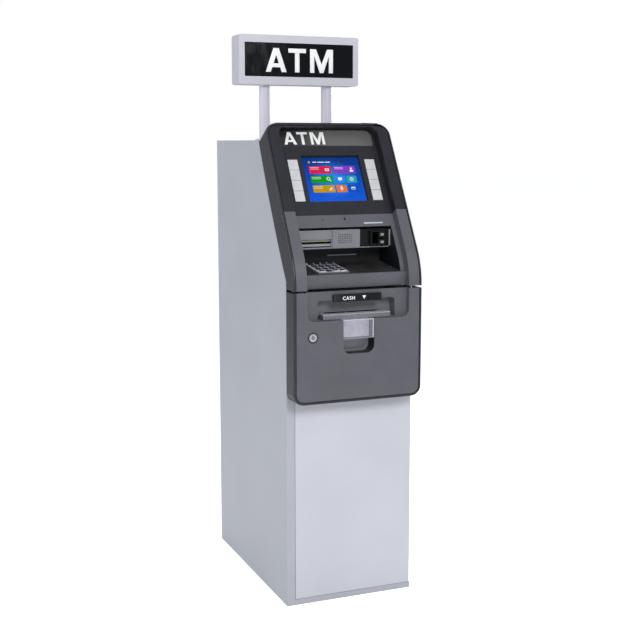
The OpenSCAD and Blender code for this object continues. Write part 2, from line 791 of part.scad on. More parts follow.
// The dark bezel round the screen: rails, top rim and a recessed panel
module upper_bezel() {
    color("#3a3a42") difference() {
        on_slope() {
            facing([1, recess_d + rim]) intersection() {
                slope_outline(lip + groove, corner_top - lip - groove);
                translate([-half_w, break_s]) square([cab_w, slope_top]);
            }
            facing([lip_t + gap, lip_t + gap + rim]) intersection() {
                slope_outline(wall + gap, corner_top - wall - gap);
                translate([-half_w, break_s]) square([cab_w, slope_top]);
            }
        }
        intersection() {
            on_slope() translate([0, 0, recess_top]) rotate([recess_tilt, 0, 0]) facing([-250, 60])
                rounded([-recess_half, recess_half], [-400, 0], 0, 26);
            on_slope() block([-half_w, half_w], [-20, recess_d], [0, slope_top]);
        }
        both_sides() on_slope() block([recess_half + rim, panel_half - rim], [4, recess_d + rim + cut],
                                      [break_s - cut, slope_top - 45]);
        on_slope() facing([recess_d - cut, recess_d + rim + cut]) {
            rounded([-header_half, header_half], header_s, 8, 24);
            rounded([-screen_half, screen_half], [screen_s, screen_s + screen_h], 2, 2);
            for (x = [-1, 1]) translate([x * (side_key_x + side_key_w / 2), 0])
                rounded([-side_key_w / 2 - 0.5, side_key_w / 2 + 0.5],
                        [side_key_s - 0.5, side_key_s + 4 * side_key_pitch - side_key_gap + 0.5], 1, 1);
        }
    }
}

module header_window() {
    y = recess_d + 1;
    color("#6e6e70") on_slope() facing([y, y + 2])
        rounded([-header_half + gap, header_half - gap], [header_s[0] + gap, header_s[1] - gap], 8 - gap, 24 - gap);
    color("white") on_slope() translate([-header_half + 14, 0, header_s[0] + 5])
        facing([y - 0.6, y]) atm_letters(42);
}

module display_panel() {
    y = recess_d + rim;
    rear = screen_s + screen_h / 2;
    color("#2f66c8") on_slope() {
        difference() {
            block([-screen_half - 8, screen_half + 8], [y, y + 9], [screen_s - 8, screen_s + screen_h + 8]);
            block([-screen_half + 1, screen_half - 1], [y - cut, y + 4], [screen_s + 1, screen_s + screen_h - 1]);
        }
        block([-side_key_x - side_key_w, side_key_x + side_key_w], [y + 9, y + 12],
              [screen_s - 14, screen_s + screen_h + 14]);
        block([-70, 70], [y + 12, y + 30], [rear - 50, rear + 50]);
    }
}

// i counts down the strip from its top key
module side_key(side, i) {
    s = side_key_s + (3 - i) * side_key_pitch;
    x = side < 0 ? -side_key_x - side_key_w : side_key_x;
    color("#cfcfd4") on_slope() block([x, x + side_key_w], [recess_d - 2.5, recess_d + rim + 4 - side_key_travel],
                                      [s, s + side_key_pitch - side_key_gap]);
}

module console_bezel() {
    lip_y = -fascia_d + 20;
    low = seam_z;
    opening = [slope_point(recess_d - 2, brow_s), slope_point(recess_d + rim + 2, brow_s),
               [shelf_front[0] + 6, shelf_front[1] - 2], [shelf_front[0] - 20, shelf_front[1] - 2]];
    color("#68696f") difference() {
        union() {
            place() difference() {
                across([-panel_half, panel_half], face_band(1, recess_d + rim, break_s));
                across([-recess_half, recess_half],
                       concat([[-fascia_d - 20, low - cut]], front_line(-20, break_s + cut),
                              reversed(front_line(recess_d, break_s + cut)), [[recess_d - fascia_d, low - cut]]));
                both_sides() across([recess_half + rim, panel_half - rim],
                    concat([[4 - fascia_d, low - cut]], front_line(4, break_s + cut),
                           reversed(front_line(recess_d + rim + cut, break_s + cut)),
                           [[recess_d + rim + cut - fascia_d, low - cut]]));
                across([-alcove_half, alcove_half], opening);
                across([-alcove_half, alcove_half], [[-fascia_d, low - cut], [-fascia_d, shelf_front[1] + 4],
                                                     [shelf_front[0] + 8, shelf_front[1] + 4], [0, low - cut]]);
            }
            place() across([-recess_half, recess_half],
                [[lip_y, slope_z - 124], [lip_y, slope_z - 121], [shelf_front[0], shelf_front[1]],
                 [shelf_front[0], shelf_front[1] - 3], [lip_y + 4, slope_z - 126], [lip_y + 17, low],
                 [lip_y + 13.5, low]]);
            both_sides() place() across([panel_half - 1, half_w - wall - gap],
                                        face_band(lip_t + gap, lip_t + gap + rim, break_s - 1));
            both_sides() place() for (x = [[recess_half + 1, arm_x[0] - 0.5], [arm_x[1] + 0.5, arm_x[1] + 8]])
                block(x, [4 - fascia_d - 1, tilt_at[0] + 6], [low + 0.5, low + 15]);
        }
        place() rod_x([-half_w, half_w], tilt_at[0], tilt_at[1], tilt_pin_r + fit);
        on_slope() {
            block([61, 122], [recess_d - cut, recess_d + rim + cut], [35, 39]);
            rod_y(3, [recess_d - cut, recess_d + rim + cut], 52, 4);
            rod_y(-68, [recess_d - cut, recess_d + 2], 49, 4.5);
        }
    }
}

// Shelf, side walls and back of the alcove
module alcove_liner() {
    outline = [[-40, shelf_front[1] - 3], [-40, slope_z + 4], [39, slope_z + 5], [56, slope_z + 5],
               [56, module_low], [alcove_back + 3, module_low], [alcove_back + 3, shelf_back[1] - 3]];
    color("#44454b") place() difference() {
        union() {
            both_sides() across([alcove_half, alcove_half + rim], outline);
            across([-alcove_half, alcove_half],
                   [shelf_front, [shelf_front[0], shelf_front[1] - 3], [alcove_back + 3, shelf_back[1] - 3],
                    [alcove_back + 3, shelf_back[1]], shelf_back]);
            block([-alcove_half, alcove_half], [alcove_back, alcove_back + 3], [shelf_back[1] - 1, module_low]);
            block([-alcove_half, alcove_half], [module_y + 6, alcove_back + 3], [module_low - 3, module_low]);
        }
        across([-half_w, half_w], concat([[-fascia_d, seam_z]], front_line(-80, break_s),
               reversed(front_line(recess_d + rim + 0.2, break_s)), [[recess_d + rim + 0.2 - fascia_d, seam_z]]));
        block([-23, 71], [alcove_back - cut, alcove_back + 4], [slope_z - 84, slope_z - 80]);
    }
}

module keypad_plate() {
    x = [pin_first[0] - pin_key_w / 2 - 7, pin_first[0] + 3 * pin_pitch[0] + pin_key_w / 2 + 7];
    y = [pin_first[1] - pin_key_d / 2 - 7, pin_first[1] + 3 * pin_pitch[1] + pin_key_d / 2 + 9];
    color("#c4c5cb") on_shelf() {
        difference() {
            block(x, y, [0.1, pin_plate_t]);
            for (i = [0:3]) for (j = [0:3]) translate([pin_first[0] + i * pin_pitch[0], pin_first[1] + j * pin_pitch[1], 0])
                block([-pin_key_w / 2 - gap, pin_key_w / 2 + gap], [-pin_key_d / 2 - gap, pin_key_d / 2 + gap],
                      [0.3, pin_plate_t + cut]);
        }
    }
    color("#35363b") on_shelf() for (spot = blank_spots) pin_cap(spot, 0.3);
}

// The column and row of a key: columns count from the left, rows from the front
function pin_spot(k) = k < 9 ? [k % 3, 3 - floor(k / 3)] : k == 9 ? [1, 0] : [3, 13 - k];

module pin_cap(spot, low) {
    translate([pin_first[0] + spot[0] * pin_pitch[0], pin_first[1] + spot[1] * pin_pitch[1], 0])
        block([-pin_key_w / 2, pin_key_w / 2], [-pin_key_d / 2, pin_key_d / 2], [low, pin_plate_t + pin_proud]);
}

module pin_key(k) {
    color("#35363b") on_shelf() pin_cap(pin_spot(k), pin_lift);
}

// ---------- modules in the alcove's upper row ----------

module receipt_printer() {
    x = [-alcove_half + gap, -37.8];
    color("#c6c6cc") place() difference() {
        block(x, [module_y, module_y + 150], [module_low, module_high]);
        block([x[0] + 4, x[1] - 3], [module_y - cut, module_y + 26], [module_low + 4, module_low + 27]);
        block([x[0] + 4, x[1] - 3], [module_y + 20, module_y + 60], [module_low + 13, module_low + 19]);
    }
    color("#b5b49c") place() block([x[0] + 4, x[1] - 3], [module_y + 8, module_y + 20], [module_low + 20, module_low + 27]);
    color("#dcdce2") place() block([x[0] + 4, x[1] - 3], [module_y + 3, module_y + 20], [module_low + 7, module_low + 14]);
}

module speaker_panel() {
    color("#b9b9c0") place() difference() {
        block([-37.5, 50], [module_y - 2, module_y + 46], [module_low, module_high]);
        block([-34, 46.5], [module_y + 2, module_y + 47], [module_low + 3, module_high - 3]);
        for (i = [0:7]) for (j = [0:4]) rod_y(-17 + i * 5.6, [module_y - 3, module_y + 3], module_low + 17 + j * 5.6, 1.6);
    }
    color("#55565c") place() rod_y(2.5, [module_y + 2.3, module_y + 24], module_low + 27, 20);
}

module card_reader() {
    x = [50.3, alcove_half - gap];
    color("#2b2c31") place() {
        difference() {
            union() {
                block(x, [module_y, module_y + 160], [module_low, module_high]);
                block([x[0] + 30, x[0] + 75], [module_y - 12, module_y + 1], [module_low + 6, module_high - 5]);
            }
            block([x[0] + 35, x[0] + 55], [module_y - 14, module_y + 30], [module_low + 10, module_high - 9]);
            block([x[0] + 54, x[0] + 76], [module_y - 14, module_y + 60], [module_low + 24, module_low + 28]);
        }
    }
    color("#c9c9cf") place() {
        block([x[1] - 4, x[1]], [module_y - 5, module_y], [module_low + 3, module_high - 3]);
        block([x[0], x[1] - 4], [module_y - 2, module_y], [module_low, module_low + 2]);
        for (z = [module_low + 12, module_low + 34])
            block([x[0] + 61, x[0] + 71], [module_y - 15, module_y - 12], [z, z + 7]);
    }
}

module console_lights() {
    color("#eef2ff") on_slope() {
        block([61 + gap, 122 - gap], [recess_d - 0.5, recess_d + rim], [35 + gap, 39 - gap]);
        rod_y(3, [recess_d + 0.5, recess_d + rim], 52, 4 - gap);
    }
    color("#eef2ff") place()
        block([-23 + gap, 71 - gap], [alcove_back - 1, alcove_back + 3], [slope_z - 84 + gap, slope_z - 80 - gap]);
}

// ---------- output, one piece at a time or all together ----------

cabinet_shell();
base_plate();
vault_body();
rear_panel();
sign_posts_at_top();  // sign_posts
sign_case();
sign_face();
computer_box();
power_supply();
cooling_fan();
fan_rotor();
hinge_fittings();
dispenser_frame();
feed_roller();
cash_cassette();
vault_door();
lock_case();
fascia_mounts();
vault_dial();
vault_handle();
bolt_bar();
lower_shell();
lower_panel();
note_chute();
cash_label();
note_guard();
lock_barrel();
lock_plug();
upper_shell();
upper_bezel();
console_bezel();
header_window();
display_panel();
alcove_liner();
keypad_plate();
receipt_printer();
speaker_panel();
card_reader();
console_lights();
for (k = [0:7]) side_key(k < 4 ? -1 : 1, k % 4);
for (k = [0:12]) pin_key(k);
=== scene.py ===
"""The finished look of a free-standing cash machine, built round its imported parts."""

import json
from math import cos, pi, radians, sin

import bmesh
import bpy
from mathutils import Matrix, Vector

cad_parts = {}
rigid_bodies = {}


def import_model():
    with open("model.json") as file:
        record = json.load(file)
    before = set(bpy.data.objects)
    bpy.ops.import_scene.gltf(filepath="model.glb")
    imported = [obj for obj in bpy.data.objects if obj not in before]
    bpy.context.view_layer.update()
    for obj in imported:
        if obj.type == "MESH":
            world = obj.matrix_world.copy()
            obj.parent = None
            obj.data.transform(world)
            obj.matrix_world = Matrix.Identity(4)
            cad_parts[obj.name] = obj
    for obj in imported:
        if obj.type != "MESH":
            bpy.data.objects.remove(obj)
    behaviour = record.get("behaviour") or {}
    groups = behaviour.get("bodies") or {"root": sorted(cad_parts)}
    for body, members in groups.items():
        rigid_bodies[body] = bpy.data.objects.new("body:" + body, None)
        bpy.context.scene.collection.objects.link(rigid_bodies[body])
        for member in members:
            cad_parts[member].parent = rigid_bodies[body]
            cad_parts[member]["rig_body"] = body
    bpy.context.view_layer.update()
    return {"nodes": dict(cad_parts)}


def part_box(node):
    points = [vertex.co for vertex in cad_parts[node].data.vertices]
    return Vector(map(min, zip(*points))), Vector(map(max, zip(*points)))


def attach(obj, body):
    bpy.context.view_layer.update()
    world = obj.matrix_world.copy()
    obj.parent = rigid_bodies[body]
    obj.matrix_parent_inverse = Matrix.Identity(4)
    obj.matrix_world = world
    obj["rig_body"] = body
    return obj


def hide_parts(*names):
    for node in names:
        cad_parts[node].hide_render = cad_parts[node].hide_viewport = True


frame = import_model()

MM = 0.001
BODY_OF = {n: o["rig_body"] for n, o in frame["nodes"].items()}


def box_mm(node):
    low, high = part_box(node)
    return low / MM, high / MM


cabinet_low, cabinet_high = box_mm("cabinet_shell")
FACE_Y = cabinet_low.y
HALF_W = cabinet_high.x
CAB_H = cabinet_high.z
SLOPE_RISE = 257            # height of the sloping part of the cabinet
SEAM_DROP = 161             # from the foot of the slope to the seam between the fascias
SLOPE_Z = CAB_H - SLOPE_RISE
SEAM_Z = SLOPE_Z - SEAM_DROP
SLOPE = radians(30)
SHELF_TILT = radians(6.98)
SHELF_OUT, SHELF_DROP = 31, 120.5   # the shelf's front edge, from the foot of the slope
PICTURE_DEPTH = 36.5        # the screen's picture, behind the sloping face
MOUTH_DROP = 89             # from the seam to the floor of the note mouth
SHARP = 28                  # an edge with a larger turn, in degrees, gets rounded

# Millimetre frames: square to the room, on the sloping console face, and on the keypad shelf
STRAIGHT = Matrix.Translation((0, FACE_Y, 0))
ON_SLOPE = Matrix.Translation((0, FACE_Y, SLOPE_Z)) @ Matrix.Rotation(-SLOPE, 4, "X")
ON_SHELF = (Matrix.Translation((0, FACE_Y - SHELF_OUT, SLOPE_Z - SHELF_DROP))
            @ Matrix.Rotation(SHELF_TILT, 4, "X"))


def slope_place(x, s):
    """A place on the screen's picture, in metres."""
    return Matrix.Scale(MM, 4) @ ON_SLOPE @ Vector((x, PICTURE_DEPTH, s))


# ---------- shader building ----------

def tint(code):
    """A paint code such as 'c8c8d2' as linear red, green, blue and alpha."""
    parts = [int(code[i:i + 2], 16) / 255 for i in (0, 2, 4)]
    return [p / 12.92 if p < 0.04045 else ((p + 0.055) / 1.055) ** 2.4 for p in parts] + [1]


class Recipe:
    """Short ways to add and join nodes in one node tree."""

    def __init__(self, tree):
        self.tree = tree

    def add(self, kind, inputs=None, **settings):
        node = self.tree.nodes.new("ShaderNode" + kind)
        for key, value in settings.items():
            setattr(node, key, value)
        for key, value in (inputs or {}).items():
            self.feed(node.inputs[key], value)
        return node

    def feed(self, socket, value):
        if isinstance(value, bpy.types.NodeSocket):
            self.tree.links.new(value, socket)
        else:
            socket.default_value = value

    def sum(self, kind, *values):
        node = self.add("Math", operation=kind)
        for socket, value in zip(node.inputs, values):
            self.feed(socket, value)
        return node.outputs[0]

    def blend(self, amount, first, second, kind="MIX"):
        node = self.add("Mix", data_type="RGBA", blend_type=kind)
        for key, value in ((0, amount), (6, first), (7, second)):
            self.feed(node.inputs[key], value)
        return node.outputs[2]

    def spread(self, value, low, high, to_low=0.0, to_high=1.0):
        return self.add("MapRange", {0: value, 1: low, 2: high, 3: to_low, 4: to_high}).outputs[0]

    def noise(self, where, scale, detail=2.0, roughness=0.5):
        inputs = {"Vector": where, "Scale": scale, "Detail": detail, "Roughness": roughness}
        return self.add("TexNoise", inputs).outputs[0]

    def where(self):
        return self.add("TexCoord").outputs["Object"]


def effect(name, inputs, outputs):
    """An empty shader group with number inputs and the given outputs, and its recipe."""
    tree = bpy.data.node_groups.new(name, "ShaderNodeTree")
    for label, value in inputs.items():
        socket = tree.interface.new_socket(label, in_out="INPUT", socket_type="NodeSocketFloat")
        socket.default_value = value
    for label in outputs:
        tree.interface.new_socket(label, in_out="OUTPUT", socket_type="NodeSocketFloat")
    recipe = Recipe(tree)
    recipe.given = tree.nodes.new("NodeGroupInput").outputs
    recipe.result = tree.nodes.new("NodeGroupOutput").inputs
    return recipe


def orange_peel_effect():
    r = effect("Orange peel", {"Size": 3.0, "Patch": 250.0}, ["Height", "Tone"])
    where = r.where()
    ripple = r.noise(where, r.sum("DIVIDE", 1 / MM, r.given["Size"]), 1.0, 0.4)
    speck = r.noise(where, r.sum("DIVIDE", 6 / MM, r.given["Size"]), 1.0)
    r.feed(r.result["Height"],
           r.sum("ADD", r.sum("MULTIPLY", ripple, 0.75), r.sum("MULTIPLY", speck, 0.25)))
    r.feed(r.result["Tone"], r.noise(where, r.sum("DIVIDE", 1 / MM, r.given["Patch"]), 3.0, 0.55))
    return r.tree


def spark_grain_effect():
    r = effect("Spark grain", {"Size": 0.6, "Patch": 90.0}, ["Height", "Tone"])
    where = r.where()
    scale = r.sum("DIVIDE", 1 / MM, r.given["Size"])
    pits = r.add("TexVoronoi", {"Vector": where, "Scale": scale, "Randomness": 1.0},
                 feature="SMOOTH_F1").outputs[0]
    fine = r.noise(where, r.sum("MULTIPLY", scale, 1.7), 2.0)
    r.feed(r.result["Height"],
           r.sum("ADD", r.sum("MULTIPLY", pits, 0.6), r.sum("MULTIPLY", fine, 0.4)))
    r.feed(r.result["Tone"], r.noise(where, r.sum("DIVIDE", 1 / MM, r.given["Patch"]), 3.0, 0.6))
    return r.tree


def edge_wear_and_highlight_effect():
    # Paler edges: partly rubbed wear, partly a painted highlight along rounded edges.
    r = effect("Edge wear and highlight", {"Reach": 1.2, "Breakup": 12.0}, ["Mask"])
    round_normal = r.add("Bevel", {"Radius": r.sum("MULTIPLY", r.given["Reach"], MM)},
                         samples=3).outputs[0]
    true_normal = r.add("NewGeometry").outputs["Normal"]
    turn = r.add("VectorMath", {0: round_normal, 1: true_normal},
                 operation="DOT_PRODUCT").outputs["Value"]
    broken = r.spread(r.noise(r.where(), r.sum("DIVIDE", 1 / MM, r.given["Breakup"]), 4.0, 0.65),
                      0.42, 0.62)
    r.feed(r.result["Mask"], r.sum("MULTIPLY", r.spread(turn, 0.995, 0.86), broken))
    return r.tree


def settled_dust_effect():
    r = effect("Settled dust", {"Patch": 35.0}, ["Mask"])
    up = r.add("SeparateXYZ", {0: r.add("NewGeometry").outputs["Normal"]}).outputs["Z"]
    drift = r.noise(r.where(), r.sum("DIVIDE", 1 / MM, r.given["Patch"]), 5.0, 0.6)
    r.feed(r.result["Mask"],
           r.sum("MULTIPLY", r.spread(up, 0.55, 1.0), r.spread(drift, 0.35, 0.75)))
    return r.tree


def smudge_effect():
    r = effect("Smudges", {"Patch": 40.0}, ["Mask"])
    where = r.where()
    broad = r.noise(where, r.sum("DIVIDE", 1 / MM, r.given["Patch"]), 4.0, 0.62)
    streak = r.noise(r.add("Mapping", {0: where, 3: (1.0, 1.0, 0.18)}).outputs[0],
                     r.sum("DIVIDE", 4 / MM, r.given["Patch"]), 2.0)
    r.feed(r.result["Mask"], r.spread(r.sum("MULTIPLY", broad, streak), 0.18, 0.42))
    return r.tree


def brushing_effect():
    r = effect("Brushing", {"Line": 0.35, "Along X": 1.0}, ["Height", "Tone"])
    where = r.add("SeparateXYZ", {0: r.where()})
    along = r.given["Along X"]
    stretch = r.add("CombineXYZ", {
        "X": r.sum("MULTIPLY", where.outputs["X"], r.spread(along, 0.0, 1.0, 1.0, 0.02)),
        "Y": where.outputs["Y"],
        "Z": r.sum("MULTIPLY", where.outputs["Z"],
                   r.spread(along, 0.0, 1.0, 0.02, 1.0))}).outputs[0]
    lines = r.noise(stretch, r.sum("DIVIDE", 1 / MM, r.given["Line"]), 3.0, 0.6)
    r.feed(r.result["Height"], lines)
    r.feed(r.result["Tone"], lines)
    return r.tree


PEEL, GRAIN, EDGE_WEAR_AND_HIGHLIGHT, DUST, SMUDGE, BRUSHED = (
    orange_peel_effect(), spark_grain_effect(), edge_wear_and_highlight_effect(), settled_dust_effect(),
    smudge_effect(), brushing_effect())


def finish_of(name):
    """A new material, its recipe and its Principled shader."""
    material = bpy.data.materials.new(name)
    material.use_nodes = True
    shader = next(n for n in material.node_tree.nodes if n.type == "BSDF_PRINCIPLED")
    return material, Recipe(material.node_tree), shader


def set_plain(shader, **values):
    """Numbers that are the same all over the surface."""
    for key, value in values.items():
        shader.inputs[key.replace("_", " ")].default_value = value


def place_effect(recipe, tree, **values):
    node = recipe.add("Group", node_tree=tree)
    for key, value in values.items():
        recipe.feed(node.inputs[key.replace("_", " ")], value)
    return node.outputs


def relief(recipe, shader, height, depth, strength=1.0):
    """Bump of the given depth in millimetres."""
    bump = recipe.add("Bump", {"Height": height, "Distance": depth * MM, "Strength": strength})
    recipe.feed(shader.inputs["Normal"], bump.outputs[0])


def shade(colour, factor):
    return [min(1.0, c * factor) for c in colour[:3]] + [1]


def powder_coat(name, code, gloss=0.42, depth=0.05, size=2.4, edge_wear_and_highlight=0.25, dust=0.10):
    """Sprayed and baked paint with ripples, a change of tone, paler edges that are partly rubbed
    wear and partly a painted highlight, and some dust.
    """
    material, r, shader = finish_of(name)
    colour = tint(code)
    peel = place_effect(r, PEEL, Size=size)
    body = r.blend(r.spread(peel["Tone"], 0.3, 0.7), shade(colour, 0.955), shade(colour, 1.03))
    # Edges lightened: wear mixed with a painted highlight.
    body = r.blend(r.sum("MULTIPLY", place_effect(r, EDGE_WEAR_AND_HIGHLIGHT)["Mask"], edge_wear_and_highlight), body,
                   shade(colour, 1.45))
    body = r.blend(r.sum("MULTIPLY", place_effect(r, DUST)["Mask"], dust), body, tint("b9b5ac"))
    r.feed(shader.inputs["Base Color"], body)
    r.feed(shader.inputs["Roughness"],
           r.spread(peel["Tone"], 0.2, 0.8, gloss - 0.05, gloss + 0.06))
    relief(r, shader, peel["Height"], depth)
    return material


def moulded(name, code, gloss=0.5, depth=0.05, size=0.7, edge_wear_and_highlight=0.3, dust=0.12, shine=0.4, reach=1.2):
    """Injection-moulded plastic with a sparked grain."""
    material, r, shader = finish_of(name)
    colour = tint(code)
    grain = place_effect(r, GRAIN, Size=size)
    body = r.blend(r.spread(grain["Tone"], 0.3, 0.7), shade(colour, 0.93), shade(colour, 1.06))
    # Edges turn much paler: wear mixed with a painted highlight, strongest on the fascia and
    # shell.
    body = r.blend(r.sum("MULTIPLY", place_effect(r, EDGE_WEAR_AND_HIGHLIGHT, Reach=reach)["Mask"], edge_wear_and_highlight), body,
                   shade(colour, 1.9))
    body = r.blend(r.sum("MULTIPLY", place_effect(r, DUST)["Mask"], dust), body, tint("a8a49b"))
    r.feed(shader.inputs["Base Color"], body)
    smear = place_effect(r, SMUDGE, Patch=60.0)["Mask"]
    r.feed(shader.inputs["Roughness"],
           r.sum("SUBTRACT", r.spread(grain["Tone"], 0.2, 0.8, gloss - 0.04, gloss + 0.06),
                                             r.sum("MULTIPLY", smear, 0.06)))
    relief(r, shader, grain["Height"], depth)
    set_plain(shader, Specular_IOR_Level=shine)
    return material


def bright_metal(name, code, gloss=0.28, along_x=1.0, depth=0.012):
    """Plated or brushed metal."""
    material, r, shader = finish_of(name)
    colour = tint(code)
    lines = place_effect(r, BRUSHED, Along_X=along_x)
    body = r.blend(r.spread(lines["Tone"], 0.3, 0.7), shade(colour, 0.88), shade(colour, 1.08))
    r.feed(shader.inputs["Base Color"], body)
    smear = place_effect(r, SMUDGE, Patch=30.0)["Mask"]
    r.feed(shader.inputs["Roughness"],
           r.sum("ADD", r.spread(lines["Tone"], 0.25, 0.75, gloss - 0.06, gloss + 0.08),
                                             r.sum("MULTIPLY", smear, 0.08)))
    relief(r, shader, lines["Height"], depth)
    set_plain(shader, Metallic=1.0)
    return material


def polished(name, code, gloss=0.08, coat=0.0, shine=0.3):
    """Gloss acrylic or enamel with faint smudges."""
    material, r, shader = finish_of(name)
    colour = tint(code)
    smear = place_effect(r, SMUDGE)["Mask"]
    r.feed(shader.inputs["Base Color"],
           r.blend(r.sum("MULTIPLY", smear, 0.25), colour, shade(colour, 1.25)))
    r.feed(shader.inputs["Roughness"], r.spread(smear, 0.0, 1.0, gloss, gloss + 0.12))
    relief(r, shader, r.noise(r.where(), 45.0, 1.0), 0.02)
    set_plain(shader, Coat_Weight=coat, Coat_Roughness=0.05, Specular_IOR_Level=shine)
    return material


def smoked_window(name, dark, pale, start, end):
    """A smoked window that pales from start to end, which are places across the machine."""
    material, r, shader = finish_of(name)
    across = r.add("SeparateXYZ", {0: r.where()}).outputs["X"]
    smear = place_effect(r, SMUDGE)["Mask"]
    body = r.blend(r.spread(across, start * MM, end * MM), tint(dark), tint(pale))
    r.feed(shader.inputs["Base Color"], body)
    r.feed(shader.inputs["Roughness"], r.spread(smear, 0.0, 1.0, 0.12, 0.24))
    set_plain(shader, Coat_Weight=0.3, Coat_Roughness=0.05, Specular_IOR_Level=0.3)
    return material


def clear_plastic(name, code, gloss=0.06, solid=0.3, shine=0.5):
    """Clear polycarbonate, faintly scuffed; solid is how much of it shows."""
    material, r, shader = finish_of(name)
    smear = place_effect(r, SMUDGE, Patch=18.0)["Mask"]
    colour = tint(code)
    r.feed(shader.inputs["Base Color"], r.blend(smear, colour, shade(colour, 1.04)))
    r.feed(shader.inputs["Roughness"], r.spread(smear, 0.0, 1.0, gloss, gloss + 0.14))
    r.feed(shader.inputs["Alpha"], r.spread(smear, 0.0, 1.0, solid, min(1.0, solid + 0.08)))
    set_plain(shader, Specular_IOR_Level=shine, IOR=1.49)
    return material


def screen_picture(name, low, high, top, bottom, glow):
    """A lit picture: the top colour fades to the bottom one, with a glow round its middle."""
    material, r, shader = finish_of(name)
    at = r.add("SeparateXYZ", {0: r.where()})
    fall = r.spread(at.outputs["Z"], low.z, high.z)
    middle = (low + high) / 2
    off_x = r.sum("DIVIDE", r.sum("SUBTRACT", at.outputs["X"], middle.x), 0.42 * (high.x - low.x))
    off_z = r.sum("DIVIDE", r.sum("SUBTRACT", at.outputs["Z"], middle.z), 0.42 * (high.z - low.z))
    far = r.sum("POWER",
                r.sum("ADD", r.sum("MULTIPLY", off_x, off_x), r.sum("MULTIPLY", off_z, off_z)),
                0.5)
    wave = r.noise(r.where(), 14.0, 2.0)
    body = r.blend(fall, tint(bottom), tint(top))
    body = r.blend(r.sum("MULTIPLY", r.spread(far, 1.0, 0.0), r.spread(wave, 0.3, 0.7, 0.55, 1.0)),
                   body, tint(glow))
    r.feed(shader.inputs["Emission Color"], body)
    r.feed(shader.inputs["Base Color"], r.blend(wave, tint("020409"), tint("04070f")))
    set_plain(shader, Emission_Strength=1.0, Roughness=0.4, Specular_IOR_Level=0.1)
    return material


def lit(name, code, strength=1.0, second=None, gloss=0.35):
    """A surface that glows; with a second colour it drifts from one to the other."""
    material, r, shader = finish_of(name)
    colour = tint(code)
    drift = r.noise(r.where(), 9.0, 2.0)
    glow = r.blend(r.spread(drift, 0.3, 0.7), shade(colour, 0.94),
                   tint(second) if second else shade(colour, 1.05))
    r.feed(shader.inputs["Emission Color"], glow)
    r.feed(shader.inputs["Base Color"], r.blend(drift, shade(colour, 0.03), shade(colour, 0.05)))
    set_plain(shader, Emission_Strength=strength, Roughness=gloss, Specular_IOR_Level=0.1)
    return material


# ---------- finishes ----------

CABINET_PAINT = powder_coat("cabinet_paint", "b3b6bd", gloss=0.46)
DOOR_PAINT = powder_coat("door_paint", "cbccd4", gloss=0.40)
SIGN_PAINT = powder_coat("sign_paint", "c9c9d1", gloss=0.34, size=1.6, depth=0.03)
POST_PAINT = powder_coat("post_paint", "d0cdd8", gloss=0.30, size=1.6, depth=0.03)
PRIMER = powder_coat("vault_primer", "8f9399", gloss=0.55, depth=0.08)
ZINC = bright_metal("zinc_sheet", "b4b6ba", gloss=0.40, along_x=0.0)
STEEL = bright_metal("plain_steel", "c9cbd0", gloss=0.26)
CHROME = bright_metal("chrome", "e6e7ea", gloss=0.10, depth=0.004)
# The fascia and shell carry a strong painted highlight along their edges.
FASCIA_GREY = moulded("fascia_grey", "5c5d63", gloss=0.40, edge_wear_and_highlight=0.9, shine=0.4, reach=2.2)
SHELL_GREY = moulded("shell_grey", "26272d", gloss=0.36, edge_wear_and_highlight=1.0, shine=0.5, reach=2.5)
BEZEL_DARK = moulded("bezel_dark", "25252c", gloss=0.40, shine=0.35)
LINER_DARK = moulded("liner_dark", "1b1c20", gloss=0.48, shine=0.3)
# Painted light: lighter than the fascia grey, to make up for the shade inside the note mouth.
CHUTE_GREY_LIGHTENED = moulded("chute_grey_painted_light", "74757b", gloss=0.45, depth=0.03, shine=0.35)
MODULE_SILVER = moulded("module_silver", "83848b", gloss=0.40, depth=0.03, shine=0.35)
READER_BLACK = moulded("reader_black", "0c0d10", gloss=0.28, depth=0.03, shine=0.35)
READER_SILVER = moulded("reader_silver", "94969b", gloss=0.30, depth=0.02)
MACHINE_BLACK = moulded("machine_black", "26272b", gloss=0.45, shine=0.35)
KEY_PALE = moulded("key_pale", "cfcfd1", gloss=0.36, depth=0.02, dust=0.0, shine=0.35)
KEY_DARK = moulded("key_dark", "26272b", gloss=0.38, depth=0.02, dust=0.03, shine=0.35)
KEYPAD_SILVER = moulded("keypad_silver", "cdced4", gloss=0.32, depth=0.02, dust=0.03)
RUBBER = moulded("rubber", "2b2b2e", gloss=0.75, depth=0.06, shine=0.3)
LETTER_WHITE = polished("letter_white", "f6f6f4", gloss=0.30)
SIGN_BLACK = polished("sign_black", "0b0c10", gloss=0.12, shine=0.2)
DIGIT_PALE = polished("digit_pale", "8f9096", gloss=0.35)
LABEL_BLACK = polished("label_black", "141518", gloss=0.22)
SMOKED = smoked_window("smoked_window", "2c2c30", "666663", -110, 10)
SCOOP_CLEAR = clear_plastic("scoop_clear", "b9b8c6", gloss=0.10, solid=0.14)
# Painted reflection: a pale near-opaque finish for the scoop's bright back.
SCOOP_REFLECTION = clear_plastic("scoop_painted_reflection", "d2d0de", gloss=0.22, solid=0.86)
# Painted light: a pale near-opaque finish for the hood's shaded top face.
HOOD_TOP_LIGHTENED = clear_plastic("hood_top_painted_light", "c8c8d0", gloss=0.20, solid=0.86)
HOOD_FROST = clear_plastic("hood_frost", "8f9098", gloss=0.30, solid=0.55)
